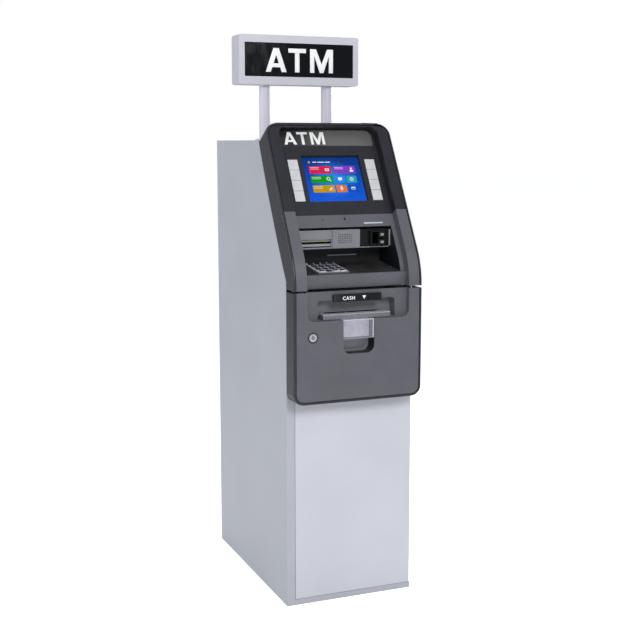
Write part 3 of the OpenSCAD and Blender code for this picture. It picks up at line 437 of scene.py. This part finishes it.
# Painted highlight: a near-opaque pale finish for the bright edges of clear parts.
RIM_HIGHLIGHT = clear_plastic("rim_painted_highlight", "e2e2ea", gloss=0.12, solid=0.90)
GLASS_CLEAR = clear_plastic("cover_glass", "0b0d12", gloss=0.03, solid=0.05, shine=0.25)
LENS_DARK = polished("lens_dark", "0a0b12", gloss=0.03, coat=1.0)
LAMP_WHITE = lit("lamp_white", "b9c2d3", strength=1.0, second="d3daea")
LAMP_DIM = lit("lamp_dim", "55565b", strength=0.6, second="66676c")
RECEIPT_BAR = moulded("receipt_bar", "96947f", gloss=0.45, depth=0.02)


# ---------- mesh building ----------

def smooth(mesh):
    mesh.polygons.foreach_set("use_smooth", [True] * len(mesh.polygons))


def weigh_edges(bm, small, big, chosen):
    """Bevel weights: the chosen sharp edges get the big rounding and the others the small one."""
    layer = bm.edges.layers.float.new("bevel_weight_edge")
    for edge in bm.edges:
        if len(edge.link_faces) == 2 and edge.calc_face_angle() > radians(SHARP):
            edge[layer] = 1.0 if chosen(edge) else small / big


def middle_of(edge):
    return (edge.verts[0].co + edge.verts[1].co) / 2


def outer_front_edge(edge):
    """An edge between the front of a moulding and its outer sides."""
    first, second = sorted(edge.link_faces, key=lambda face: face.normal.y)
    outward = second.normal.x * middle_of(edge).x > 0 and abs(second.normal.x) > 0.05
    return first.normal.y < -0.5 and outward and edge.calc_face_angle() > radians(60)


def floor_edge(edge):
    """An inside edge, where a wall meets a floor."""
    first, second = sorted(edge.link_faces, key=lambda face: face.normal.y)
    return not edge.is_convex and first.normal.y < -0.9 and abs(second.normal.y) < 0.2


def rounding(piece, width, segments=2):
    """Rounds the edges of a piece; width is in millimetres."""
    bevel = piece.modifiers.new("rounding", "BEVEL")
    bevel.width = width * MM
    bevel.segments = segments
    bevel.limit_method = "WEIGHT" if "bevel_weight_edge" in piece.data.attributes else "ANGLE"
    bevel.angle_limit = radians(SHARP)
    bevel.miter_outer = "MITER_ARC"
    even = piece.modifiers.new("even_normals", "WEIGHTED_NORMAL")
    even.keep_sharp = True


def finished(name, mesh, finish, body, width=0.0, segments=2):
    """Puts a finished mesh in the scene as a piece that rides on a body."""
    smooth(mesh)
    mesh.materials.clear()
    mesh.materials.append(finish)
    piece = bpy.data.objects.new(name, mesh)
    bpy.context.scene.collection.objects.link(piece)
    if width:
        rounding(piece, width, segments)
    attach(piece, body)
    return piece


def drawn(name, bm, node, finish, at=STRAIGHT, width=0.0, segments=2):
    """A piece of a CAD node, drawn in millimetres in one of the frames."""
    bm.transform(Matrix.Scale(MM, 4) @ at)
    bmesh.ops.recalc_face_normals(bm, faces=bm.faces)
    mesh = bpy.data.meshes.new(name)
    bm.to_mesh(mesh)
    bm.free()
    return finished(name, mesh, finish, BODY_OF[node], width, segments)


def merged(source, flats):
    """A mesh without doubled points; with flats, each flat area is a single face."""
    bm = bmesh.new()
    bm.from_mesh(source)
    bmesh.ops.remove_doubles(bm, verts=bm.verts, dist=2e-6)
    if flats:
        bmesh.ops.dissolve_limit(bm, angle_limit=radians(0.3), verts=bm.verts, edges=bm.edges)
    return bm


def cast(node, finish, width, segments=2, bold=None, chosen=None, flats=True):
    """A CAD node's own shape with rounded edges; chosen edges get the bold rounding."""
    bm = merged(frame["nodes"][node].data, flats)
    bm.transform(Matrix.Scale(1 / MM, 4))
    if bold:
        bm.normal_update()
        weigh_edges(bm, width, bold, chosen)
    piece = drawn(node + "_body", bm, node, finish, Matrix.Identity(4), bold or width, segments)
    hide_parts(node)
    return piece


ANYWHERE = (-4000, 4000)


def dress(piece, finish, x=ANYWHERE, y=ANYWHERE, z=ANYWHERE, at=STRAIGHT):
    """Gives a finish to the faces whose middles lie between pairs of x, y and z of a frame."""
    back = (Matrix.Scale(MM, 4) @ at).inverted()
    mesh = piece.data
    mesh.materials.append(finish)
    for face in mesh.polygons:
        if all(low <= c <= high for c, (low, high) in zip(back @ face.center, (x, y, z))):
            face.material_index = len(mesh.materials) - 1
    return piece


def rounded_outline(x, z, radius, steps=8):
    """Points of a rectangle with round corners; radius is one number, or (low, high)."""
    low, high = radius if isinstance(radius, tuple) else (radius, radius)
    points = []
    for cx, cz, r, start in ((x[1] - low, z[0] + low, low, -90),
                             (x[1] - high, z[1] - high, high, 0),
                             (x[0] + high, z[1] - high, high, 90),
                             (x[0] + low, z[0] + low, low, 180)):
        if r <= 0:
            points.append((cx, cz))
            continue
        for i in range(steps + 1):
            a = radians(start + 90 * i / steps)
            points.append((cx + r * cos(a), cz + r * sin(a)))
    return points


def round_outline(x, z, radius, steps=32):
    return [(x + radius * cos(2 * pi * i / steps), z + radius * sin(2 * pi * i / steps))
            for i in range(steps)]


def curve_mesh(curve, front, back):
    """The solid of a flat curve, standing in x and z, with its face at y = front."""
    carrier = bpy.data.objects.new("carrier", curve)
    bm = bmesh.new()
    bm.from_mesh(bpy.data.meshes.new_from_object(carrier))
    bpy.data.objects.remove(carrier)
    bpy.data.curves.remove(curve)
    bmesh.ops.remove_doubles(bm, verts=bm.verts, dist=1e-4)
    bm.transform(Matrix.Translation((0, (front + back) / 2, 0)) @ Matrix.Rotation(pi / 2, 4, "X"))
    return bm


def plate(outlines, front, back, edge=0.0):
    """A flat plate from outlines of (x, z); inner ones are holes, and edge rounds its rims."""
    curve = bpy.data.curves.new("plate", "CURVE")
    curve.dimensions = "2D"
    curve.fill_mode = "BOTH"
    curve.extrude = (back - front) / 2 - edge
    curve.bevel_depth = edge
    curve.bevel_resolution = 1
    curve.offset = -edge
    for outline in outlines:
        line = curve.splines.new("POLY")
        line.points.add(len(outline) - 1)
        line.use_cyclic_u = True
        for point, (x, z) in zip(line.points, outline):
            point.co = (x, z, 0, 1)
    return curve_mesh(curve, front, back)


def wording(text, x, z, height, front, back, bold=0.0, spacing=1.0):
    """Raised lettering whose first letter starts at x, z."""
    curve = bpy.data.curves.new("wording", "FONT")
    curve.body = text
    curve.size = height / 0.73
    curve.extrude = (back - front) / 2
    curve.offset = bold
    curve.space_character = spacing
    curve.resolution_u = 6
    bm = curve_mesh(curve, front, back)
    bmesh.ops.translate(bm, verts=bm.verts, vec=(x, 0, z))
    return bm


def turned(profile, centre, steps=48):
    """A turned solid about a line along y; centre is (x, z) and profile a list of (radius, y)."""
    bm = bmesh.new()
    rings = []
    for radius, y in profile:
        if radius < 1e-6:
            rings.append([bm.verts.new((centre[0], y, centre[1]))])
        else:
            rings.append([bm.verts.new((centre[0] + radius * cos(2 * pi * i / steps), y,
                                        centre[1] + radius * sin(2 * pi * i / steps)))
                                        for i in range(steps)])
    for a, b in zip(rings, rings[1:]):
        for i in range(steps):
            j = (i + 1) % steps
            corners = [a[i % len(a)], a[j % len(a)], b[j % len(b)], b[i % len(b)]]
            bm.faces.new([c for k, c in enumerate(corners) if c not in corners[:k]])
    for ring in (rings[0], rings[-1]):
        if len(ring) > 1:
            bm.faces.new(ring)
    return bm


def brick(x, y, z):
    """A block between pairs of x, y and z, to be rounded afterwards."""
    bm = bmesh.new()
    bmesh.ops.create_cube(bm, size=1)
    for v in bm.verts:
        v.co = Vector([(a + b) / 2 + c * (b - a) for (a, b), c in zip((x, y, z), v.co)])
    return bm


def joined(meshes):
    """Several meshes as one."""
    whole = bmesh.new()
    for bm in meshes:
        part = bpy.data.meshes.new("part")
        bm.to_mesh(part)
        bm.free()
        whole.from_mesh(part)
        bpy.data.meshes.remove(part)
    return whole


def screw_heads(places, y, radius=3.4, outward=-1):
    """Domed heads at (x, z) places on an upright face at y; outward is -1 to the front."""
    heads = []
    for x, z in places:
        head = turned([(0, y + outward * radius * 0.42),
                       (radius * 0.30, y + outward * radius * 0.41),
                       (radius * 0.72, y + outward * radius * 0.30), (radius, y),
                       (radius, y - outward * 0.4),
                       (0, y - outward * 0.4)], (x, z), 20)
        heads.append(head)
    return joined(heads)


def letter_a(x, z, w, h, t):
    lean, leg = (w - 1.2 * t) / 2, 1.1 * t
    low, high = 0.2 * h, 0.2 * h + 0.8 * t
    peak = (w / 2 - leg) * h / lean
    outer = [(0, 0), (lean, h), (w - lean, h), (w, 0), (w - leg, 0),
             (w - leg - lean * low / h, low),
             (leg + lean * low / h, low), (leg, 0)]
    hole = [(leg + lean * high / h, high), (w - leg - lean * high / h, high), (w / 2, peak)]
    return [[(x + a, z + b) for a, b in line] for line in (outer, hole)]


def letter_t(x, z, w, h, t):
    bar = h - 0.87 * t
    return [[(x + a, z + b) for a, b in (
        (0, h), (0, bar), ((w - t) / 2, bar), ((w - t) / 2, 0), ((w + t) / 2, 0),
                                         ((w + t) / 2, bar), (w, bar), (w, h))]]


def letter_m(x, z, w, h, t):
    return [[(x + a, z + b) for a, b in (
        (0, 0), (0, h), (1.35 * t, h), (w / 2, 0.36 * h), (w - 1.35 * t, h), (w, h), (w, 0),
        (w - 0.95 * t, 0),
        (w - 0.95 * t, 0.72 * h), (w / 2 + 0.42 * t, 0), (w / 2 - 0.42 * t, 0),
        (0.95 * t, 0.72 * h), (0.95 * t, 0))]]


def machine_letters(prefix, node, x, z, h, front, back, at):
    """A, T and M in a row, h high."""
    t = 0.205 * h
    for mark, outlines in (("a", letter_a(x, z, 0.95 * h, h, t)),
                           ("t", letter_t(x + 1.03 * h, z, 0.81 * h, h, t)),
                           ("m", letter_m(x + 2.03 * h, z, 1.07 * h, h, t))):
        drawn(f"{prefix}_{mark}", plate(outlines, front, back, 0.15), node, LETTER_WHITE, at)


# ---------- cabinet and sign ----------

def cabinet():
    cast("cabinet_shell", CABINET_PAINT, 0.9, 2)
    cast("rear_panel", CABINET_PAINT, 0.3, 2, flats=False)
    cast("base_plate", PRIMER, 0.5, flats=False)
    cast("vault_body", PRIMER, 0.5, flats=False)
    low, high = box_mm("rear_panel")
    y = high.y - FACE_Y
    xs = (low.x + 9, (low.x + high.x) / 2, high.x - 9)
    places = [(x, z) for x in xs for z in (low.z + 9, high.z - 9)]
    drawn("rear_panel_screws", screw_heads(places, y - 1.3, 3.2, 1), "rear_panel", STEEL)


def sign():
    cast("sign_case", SIGN_PAINT, 1.4, 3)
    cast("sign_posts", POST_PAINT, 1.2, 3)
    low, high = box_mm("sign_face")
    y = low.y - FACE_Y + 1
    outline = rounded_outline((low.x + 0.4, high.x - 0.4), (low.z + 0.4, high.z - 0.4), 4)
    face = plate([outline], y, y + 3, 0.3)
    panel = drawn("sign_face_panel", face, "sign_face", SIGN_BLACK)
    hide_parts("sign_face")
    case_low, case_high = box_mm("sign_case")
    machine_letters("sign_letter", "sign_face", -113, case_low.z + 39.5,
                    0.48 * (case_high.z - case_low.z),
                    y - 1, y, STRAIGHT)
    rear = case_high.y - FACE_Y
    places = [(x, z) for x in (-HALF_W + 14, 0, HALF_W - 14)
              for z in (case_low.z + 14, case_high.z - 14)]
    drawn("sign_screws", screw_heads(places, rear, 3.0, 1), "sign_case", STEEL)
    post_x, post_y, ring, half, flange_t, head_t = 105, 437, 24, 2, 3.4, 2.4
    foot = []
    for x in (-post_x, post_x):
        for a in range(45, 360, 90):
            bolt_x = x + ring * cos(radians(a))
            foot.append(brick((bolt_x - half, bolt_x + half), (0, 2 * half), (0, head_t)))
            bmesh.ops.translate(foot[-1], verts=foot[-1].verts,
                                vec=(0, post_y - half + ring * sin(radians(a)), CAB_H + flange_t))
    drawn("post_bolts", joined(foot), "sign_posts", STEEL, width=0.6)


# ---------- vault ----------

def vault():
    cast("vault_door", DOOR_PAINT, 1.2, 3)
    cast("lock_case", ZINC, 0.4, flats=False)
    cast("fascia_mounts", ZINC, 0.5)
    cast("hinge_fittings", ZINC, 0.4)
    cast("bolt_bar", STEEL, 1.0)
    cast("vault_handle", CHROME, 2.2, 3)
    cast("vault_dial", MACHINE_BLACK, 0.6)
    cast("dispenser_frame", ZINC, 0.4, flats=False)
    cast("feed_roller", RUBBER, 0.8)
    cast("cash_cassette", MACHINE_BLACK, 1.2)
    cast("computer_box", ZINC, 0.4, flats=False)
    cast("power_supply", ZINC, 0.4, flats=False)
    cast("cooling_fan", MACHINE_BLACK, 0.3, flats=False)
    cast("fan_rotor", MACHINE_BLACK, 0.3)


# ---------- lower fascia ----------

def lower_fascia():
    shell = cast("lower_shell", SHELL_GREY, 0.7, 3, bold=4.4, chosen=outer_front_edge)
    shell.modifiers["rounding"].use_clamp_overlap = False
    cast("lower_panel", FASCIA_GREY, 1.3, 3, bold=6, chosen=floor_edge)
    # The chute and the pocket's back plate are in the lightened grey, painted light against the
    # shade in the mouth.
    chute = cast("note_chute", CHUTE_GREY_LIGHTENED, 0.6, 3)
    # Painted shade: the walls of the note pocket are given the dark liner finish.
    dress(chute, LINER_DARK, x=(-52, 52), y=(-58, -20), z=(SEAM_Z - 195, SEAM_Z - 92))
    pocket = rounded_outline((-47.6, 37), (SEAM_Z - 177, SEAM_Z - 92), (17, 1), 10)
    floor = plate([pocket], -22.2, -18.9, 1.3)
    drawn("pocket_floor", floor, "note_chute", CHUTE_GREY_LIGHTENED)
    recess_z = SEAM_Z - MOUTH_DROP
    hood_z, scoop_z = recess_z + 16, recess_z - 55
    guard = cast("note_guard", SCOOP_CLEAR, 0.8, 3)
    dress(guard, HOOD_FROST, z=(recess_z + 0.5, recess_z + 20))
    # Painted light: the hood's top face, shaded inside the mouth, is given a pale finish.
    dress(guard, HOOD_TOP_LIGHTENED, z=(hood_z - 0.1, hood_z + 0.1))
    # Painted highlights along the guard's rim and the scoop's bottom line.
    dress(guard, RIM_HIGHLIGHT, z=(recess_z - 0.2, recess_z + 0.2))
    dress(guard, RIM_HIGHLIGHT, z=(scoop_z - 0.1, scoop_z + 0.1))
    # Pale strips at the guard's edges are painted highlights.
    edges = [brick((-105.3, 105.3), (-46, -20), (recess_z + 13.2, recess_z + 15.9)),
             brick((-105.3, -103), (-46, -42), (recess_z + 1.6, recess_z + 15.8)),
             brick((-48, 48), (-57, -54.6), (recess_z - 2.4, recess_z)),
             brick((44.8, 48), (-57, -55), (recess_z - 54.8, recess_z - 1))]
    drawn("guard_highlight_strips", joined(edges), "note_guard", RIM_HIGHLIGHT, width=0.6)
    # Painted reflection: a pale plate stands for the bright back face of the clear scoop.
    drawn("scoop_back",
          plate([rounded_outline((-45, 45), (recess_z - 54.6, recess_z - 0.6), 3)], -29.8, -29.2,
                0.2),
          "note_guard", SCOOP_REFLECTION)
    low, high = box_mm("cash_label")
    y = low.y - FACE_Y + 0.5
    bar = plate([rounded_outline((low.x, high.x), (low.z, high.z), 2)], y, high.y - FACE_Y, 0.5)
    label = drawn("cash_label_bar", bar, "cash_label", LABEL_BLACK)
    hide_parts("cash_label")
    top = high.z
    drawn("cash_wording", wording("CASH", -47, top - 16.2, 10.4, y - 0.45, y, 0.3, 1.1),
          "cash_label", LETTER_WHITE)
    drawn("cash_arrow", plate([[(14, top - 5.6), (26, top - 5.6), (20, top - 16.4)]], y - 0.45, y),
          "cash_label",
          LETTER_WHITE)
    cast("lock_barrel", MACHINE_BLACK, 0.5)
    plug = cast("lock_plug", CHROME, 0.4)
    # Painted shade: the ring groove in the lock plug is given the black finish.
    dress(plug, MACHINE_BLACK, y=(-58.6, -55), z=(SEAM_Z - 140, SEAM_Z - 128))


# ---------- console ----------

TILES = {  # left, right and top, bottom as shares of the picture, from its top left corner
    "tile_rose": ("e5214f", (0.10, 0.48), (0.20, 0.37)),
    "tile_purple": ("8a3fd0", (0.52, 0.91), (0.20, 0.37)),
    "tile_green": ("0ca016", (0.10, 0.48), (0.42, 0.58)),
    "tile_sky": ("2c90f4", (0.51, 0.70), (0.42, 0.58)),
    "tile_teal": ("29a9bd", (0.72, 0.90), (0.42, 0.58)),
    "tile_amber": ("d09c08", (0.10, 0.48), (0.63, 0.79)),
    "tile_orange": ("f07a26", (0.51, 0.69), (0.63, 0.79)),
    "tile_navy": ("0f55c4", (0.72, 0.89), (0.63, 0.79)),
}


SCREEN_BLUE = screen_picture("screen_blue", slope_place(-92, 111), slope_place(92, 262),
                             "083684", "155fe8", "2c9cfb")


def screen():
    cast("display_panel", MACHINE_BLACK, 0.5)
    s_low, s_high, half = 111.5, 259.5, 91
    wide, tall = 2 * half, s_high - s_low
    picture_y, tile_y, icon_y, mark_y = (36.3, 36.9), (36.15, 36.3), (36.05, 36.15), (36.05, 36.3)
    surround = plate([rounded_outline((-92.7, 92.7), (110.3, 262.7), 1),
                      rounded_outline((-half, half), (s_low, s_high), 1)], 33.6, 37, 0.1)
    drawn("screen_surround", surround, "display_panel", READER_BLACK, ON_SLOPE)
    picture = plate([rounded_outline((-half + 0.3, half - 0.3), (s_low + 0.3, s_high - 0.3), 0.8)],
                    *picture_y)
    drawn("screen_picture", picture, "display_panel", SCREEN_BLUE, ON_SLOPE)
    glow_white = lit("screen_white", "f6f8ff", 1.0)
    for name, (code, u, v) in TILES.items():
        x = [-half + wide * k for k in u]
        s = [s_high - tall * k for k in reversed(v)]
        tile = plate([rounded_outline(x, s, 1.2)], *tile_y)
        drawn("screen_" + name, tile, "display_panel", lit(name, code, 1.0), ON_SLOPE)
        lines = [[(x[0] + 3, s[1] - 4), (x[0] + 3, s[1] - 5.2),
                  (x[0] + 0.45 * (x[1] - x[0]), s[1] - 5.2),
                  (x[0] + 0.45 * (x[1] - x[0]), s[1] - 4)]]
        wide_tile = x[1] - x[0] > 50
        cx, cz, r = (x[1] - 13 if wide_tile else (x[0] + x[1]) / 2), (s[0] + s[1]) / 2 + 0.5, 6.5
        if wide_tile:
            lines.append([(a, b - 5) for a, b in lines[0]])
        icon = {"tile_rose": [rounded_outline((cx - r, cx + r), (cz - 4.5, cz + 4.5), 1.5),
                              round_outline(cx, cz, 2.6)],
                "tile_purple": [round_outline(cx, cz + 4, 3.1, 20),
                                rounded_outline((cx - 6, cx + 6), (cz - 7.5, cz), (1, 5))],
                "tile_green": [round_outline(cx - 1.5, cz + 1.5, 6),
                               round_outline(cx - 1.5, cz + 1.5, 3.8),
                               [(cx + 2.4, cz - 3.8), (cx + 3.8, cz - 2.4), (cx + 8, cz - 6.6),
                                (cx + 6.6, cz - 8)]],
                "tile_sky": [rounded_outline((cx - r, cx + r), (cz - 3, cz + 6), 1.5),
                             [(cx - 4, cz - 3.2), (cx + 1, cz - 3.2), (cx - 3, cz - 7)]],
                "tile_teal": [round_outline(cx, cz, 6), round_outline(cx, cz, 4),
                              rounded_outline((cx - 0.9, cx + 0.9), (cz - 2.4, cz + 3), 0.5)],
                "tile_amber": [[(cx - r, cz - 5), (cx + r, cz - 5), (cx + r, cz - 3.4),
                                (cx - r, cz - 3.4)],
                               [(cx - 6, cz - 2.4), (cx + 4, cz + 5), (cx + 6.4, cz + 2),
                                (cx - 1, cz - 2.4)]],
                "tile_orange": [[(cx - 3, cz + 7), (cx + 3, cz + 7), (cx + 3, cz), (cx + 6, cz),
                                 (cx, cz - 7),
                                 (cx - 6, cz), (cx - 3, cz)]],
                "tile_navy": [rounded_outline((cx - r, cx + r), (cz - 4, cz + 4.6), 1),
                              rounded_outline((cx - r + 1.4, cx + r - 1.4), (cz - 2.6, cz + 0.6),
                                              0.5)]}[name]
        drawn("screen_" + name + "_icon", plate(icon, *icon_y), "display_panel", glow_white,
              ON_SLOPE)
        if wide_tile:
            drawn("screen_" + name + "_lines", plate(lines, *icon_y), "display_panel",
                  glow_white, ON_SLOPE)
    top = s_high - 0.11 * tall
    mark = plate([round_outline(-half + 0.12 * wide, top, 3.4, 6),
                  round_outline(-half + 0.12 * wide, top, 1.5, 6)],
                 *mark_y)
    drawn("screen_mark", mark, "display_panel", lit("screen_yellow", "f6c92b", 1.0), ON_SLOPE)
    title = plate([rounded_outline((-half + (0.18 + k) * wide, -half + (0.18 + k + w) * wide),
                                   (top - 1.4, top + 1.4), 1.2, 4)
                   for k, w in ((0.0, 0.07), (0.085, 0.12), (0.22, 0.09))], *mark_y)
    drawn("screen_title_bars", title, "display_panel", glow_white, ON_SLOPE)
    cover = plate([rounded_outline((-half + 0.3, half - 0.3), (s_low + 0.3, s_high - 0.3), 1)],
                  33.4, 34.6, 0.15)
    drawn("screen_cover", cover, "display_panel", GLASS_CLEAR, ON_SLOPE)


def header():
    half, s = 150 - 0.3, (295.3, 349.7)
    window = plate([rounded_outline((-half, half), s, (7.7, 23.7), 10)], 31, 33, 0.3)
    piece = drawn("header_glazing", window, "header_window", SMOKED, ON_SLOPE)
    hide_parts("header_window")
    machine_letters("header_letter", "header_window", -136, 300, 42, 30.4, 31, ON_SLOPE)


PIN_FIRST, PIN_PITCH, PIN_TOP = (-95.5, 18), (21, 29.5), 8.5
ON_KEYS = ON_SHELF @ Matrix.Rotation(-pi / 2, 4, "X")


def keys():
    for side in ("left", "right"):
        for i in range(1, 5):
            cast(f"key_{side}_{i}", KEY_PALE, 0.5, 3)
    for node in [n for n in BODY_OF if n.startswith("pin_")]:
        cast(node, KEY_DARK, 0.6, 3)
    for k in range(10):
        column, row = (k % 3, 3 - k // 3) if k < 9 else (1, 0)
        x, y = (first + step * pitch
                for first, step, pitch in zip(PIN_FIRST, (column, row), PIN_PITCH))
        digit = str((k + 1) % 10)
        drawn("digit_" + digit,
              wording(digit, x - 2, y - 2.4, 5, -PIN_TOP - 0.12, -PIN_TOP + 0.2, 0.05),
              "pin_key_" + digit, DIGIT_PALE, ON_KEYS)
    x = PIN_FIRST[0] + 3 * PIN_PITCH[0]
    for name, row in (("cancel", 3), ("clear", 2), ("enter", 1)):
        y = PIN_FIRST[1] + row * PIN_PITCH[1]
        bar = plate([rounded_outline((x - 5, x + 5), (y - 6.6, y - 4.6), 0.6)], -PIN_TOP - 0.12,
                    -PIN_TOP + 0.2)
        drawn(f"mark_{name}_bar", bar, "pin_" + name, DIGIT_PALE, ON_KEYS)


def console():
    shell = cast("upper_shell", SHELL_GREY, 0.7, 3, bold=4.4, chosen=outer_front_edge)
    shell.modifiers["rounding"].use_clamp_overlap = False
    cast("upper_bezel", BEZEL_DARK, 1.2, 3)
    cast("console_bezel", FASCIA_GREY, 1.2, 3)
    cast("alcove_liner", LINER_DARK, 0.8)
    low, high = box_mm("receipt_printer")
    printer = cast("receipt_printer", MODULE_SILVER, 0.5)
    dress(printer, RECEIPT_BAR, x=(low.x + 1, high.x - 1), y=(56, 69),
          z=(low.z + 20.5, low.z + 27))
    dress(printer, READER_SILVER, x=(low.x + 1, high.x - 1), y=(52, 69), z=(low.z + 7, low.z + 14))
    dress(printer, READER_BLACK, x=(low.x + 1, high.x - 1), y=(70, 125), z=(low.z + 1, low.z + 30))
    speaker = cast("speaker_panel", MODULE_SILVER, 0.2, flats=False)
    dress(speaker, RUBBER, x=(-19, 25), y=(52.1, 75), z=(low.z + 5, high.z - 4))
    low, high = box_mm("card_reader")
    reader = cast("card_reader", READER_BLACK, 0.4)
    dress(reader, READER_SILVER, x=(high.x - 4.1, high.x), y=(44, 49.9))
    dress(reader, READER_SILVER, y=(47.5, 49.9), z=(low.z - 0.1, low.z + 2.1))
    dress(reader, READER_SILVER, y=(34, 37.9))
    lights = cast("console_lights", LAMP_WHITE, 0.3)
    dress(lights, LENS_DARK, x=(-2, 8), z=(SLOPE_Z + 20, SLOPE_Z + 90))
    dress(lights, LAMP_DIM, y=(110, 130))
    plate_top = (6.2, 9)
    pad = cast("keypad_plate", KEYPAD_SILVER, 0.4, flats=False)
    dress(pad, KEY_DARK, z=plate_top, at=ON_SHELF)
    dress(pad, FASCIA_GREY, y=(2, 3), at=ON_SHELF)


cabinet()
sign()
vault()
lower_fascia()
console()
header()
screen()
keys()


# ---------- floor, light and camera ----------

def studio():
    ground = bmesh.new()
    bmesh.ops.create_grid(ground, x_segments=1, y_segments=1, size=40)
    mesh = bpy.data.meshes.new("floor")
    ground.to_mesh(mesh)
    ground.free()
    floor = bpy.data.objects.new("floor", mesh)
    bpy.context.scene.collection.objects.link(floor)
    material, r, shader = finish_of("floor_white")
    r.feed(shader.inputs["Base Color"],
           r.blend(r.noise(r.where(), 2.0), tint("fbfbfb"), tint("ffffff")))
    r.feed(shader.inputs["Emission Color"],
           r.blend(r.add("LightPath").outputs["Is Camera Ray"], tint("000000"),
                                                    tint("ffffff")))
    set_plain(shader, Roughness=0.9, Emission_Strength=0.66)
    mesh.materials.append(material)

    world = bpy.data.worlds.new("studio")
    world.use_nodes = True
    bpy.context.scene.world = world
    r = Recipe(world.node_tree)
    back = next(n for n in world.node_tree.nodes if n.type == "BACKGROUND")
    seen = r.add("LightPath").outputs["Is Camera Ray"]
    r.feed(back.inputs["Color"], r.blend(seen, tint("e9edf5"), tint("ffffff")))
    r.feed(back.inputs["Strength"], r.spread(seen, 0.0, 1.0, 0.42, 1.0))

    for name, place, aim, size, power in (
            ("key_light", (-0.1, -3.8, 2.9), (-0.1, 0, 0.9), 1.2, 80),
            ("front_light", (-0.3, -4.4, 0.8), (0, 0, 0.9), 1.0, 8),
            ("edge_light", (-3.2, -1.1, 1.4), (0, -0.3, 0.9), 0.4, 9),
            ("side_light", (-3.6, 1.0, 1.8), (0, 0, 0.8), 2.0, 38),
            ("rim_light", (2.4, 1.8, 2.4), (0.1, 0, 1.2), 2.0, 50),
            ("top_light", (-0.4, -0.2, 4.6), (0, 0, 0), 3.4, 34)):
        light = bpy.data.lights.new(name, "AREA")
        light.size = size
        light.energy = power
        lamp = bpy.data.objects.new(name, light)
        lamp.location = place
        lamp.rotation_euler = (Vector(aim) - Vector(place)).to_track_quat("-Z", "Y").to_euler()
        bpy.context.scene.collection.objects.link(lamp)

    camera = bpy.data.objects.new("camera", bpy.data.cameras.new("camera"))
    camera.data.sensor_width = 36
    camera.data.lens = 64.6
    camera.data.shift_y = -0.03125
    camera.location = (-1.33281, -3.30467, 1.3492)
    camera.rotation_euler = (radians(82.21), 0, radians(-22.3))
    bpy.context.scene.collection.objects.link(camera)
    bpy.context.scene.camera = camera
    bpy.context.scene.view_settings.view_transform = "Standard"


studio()
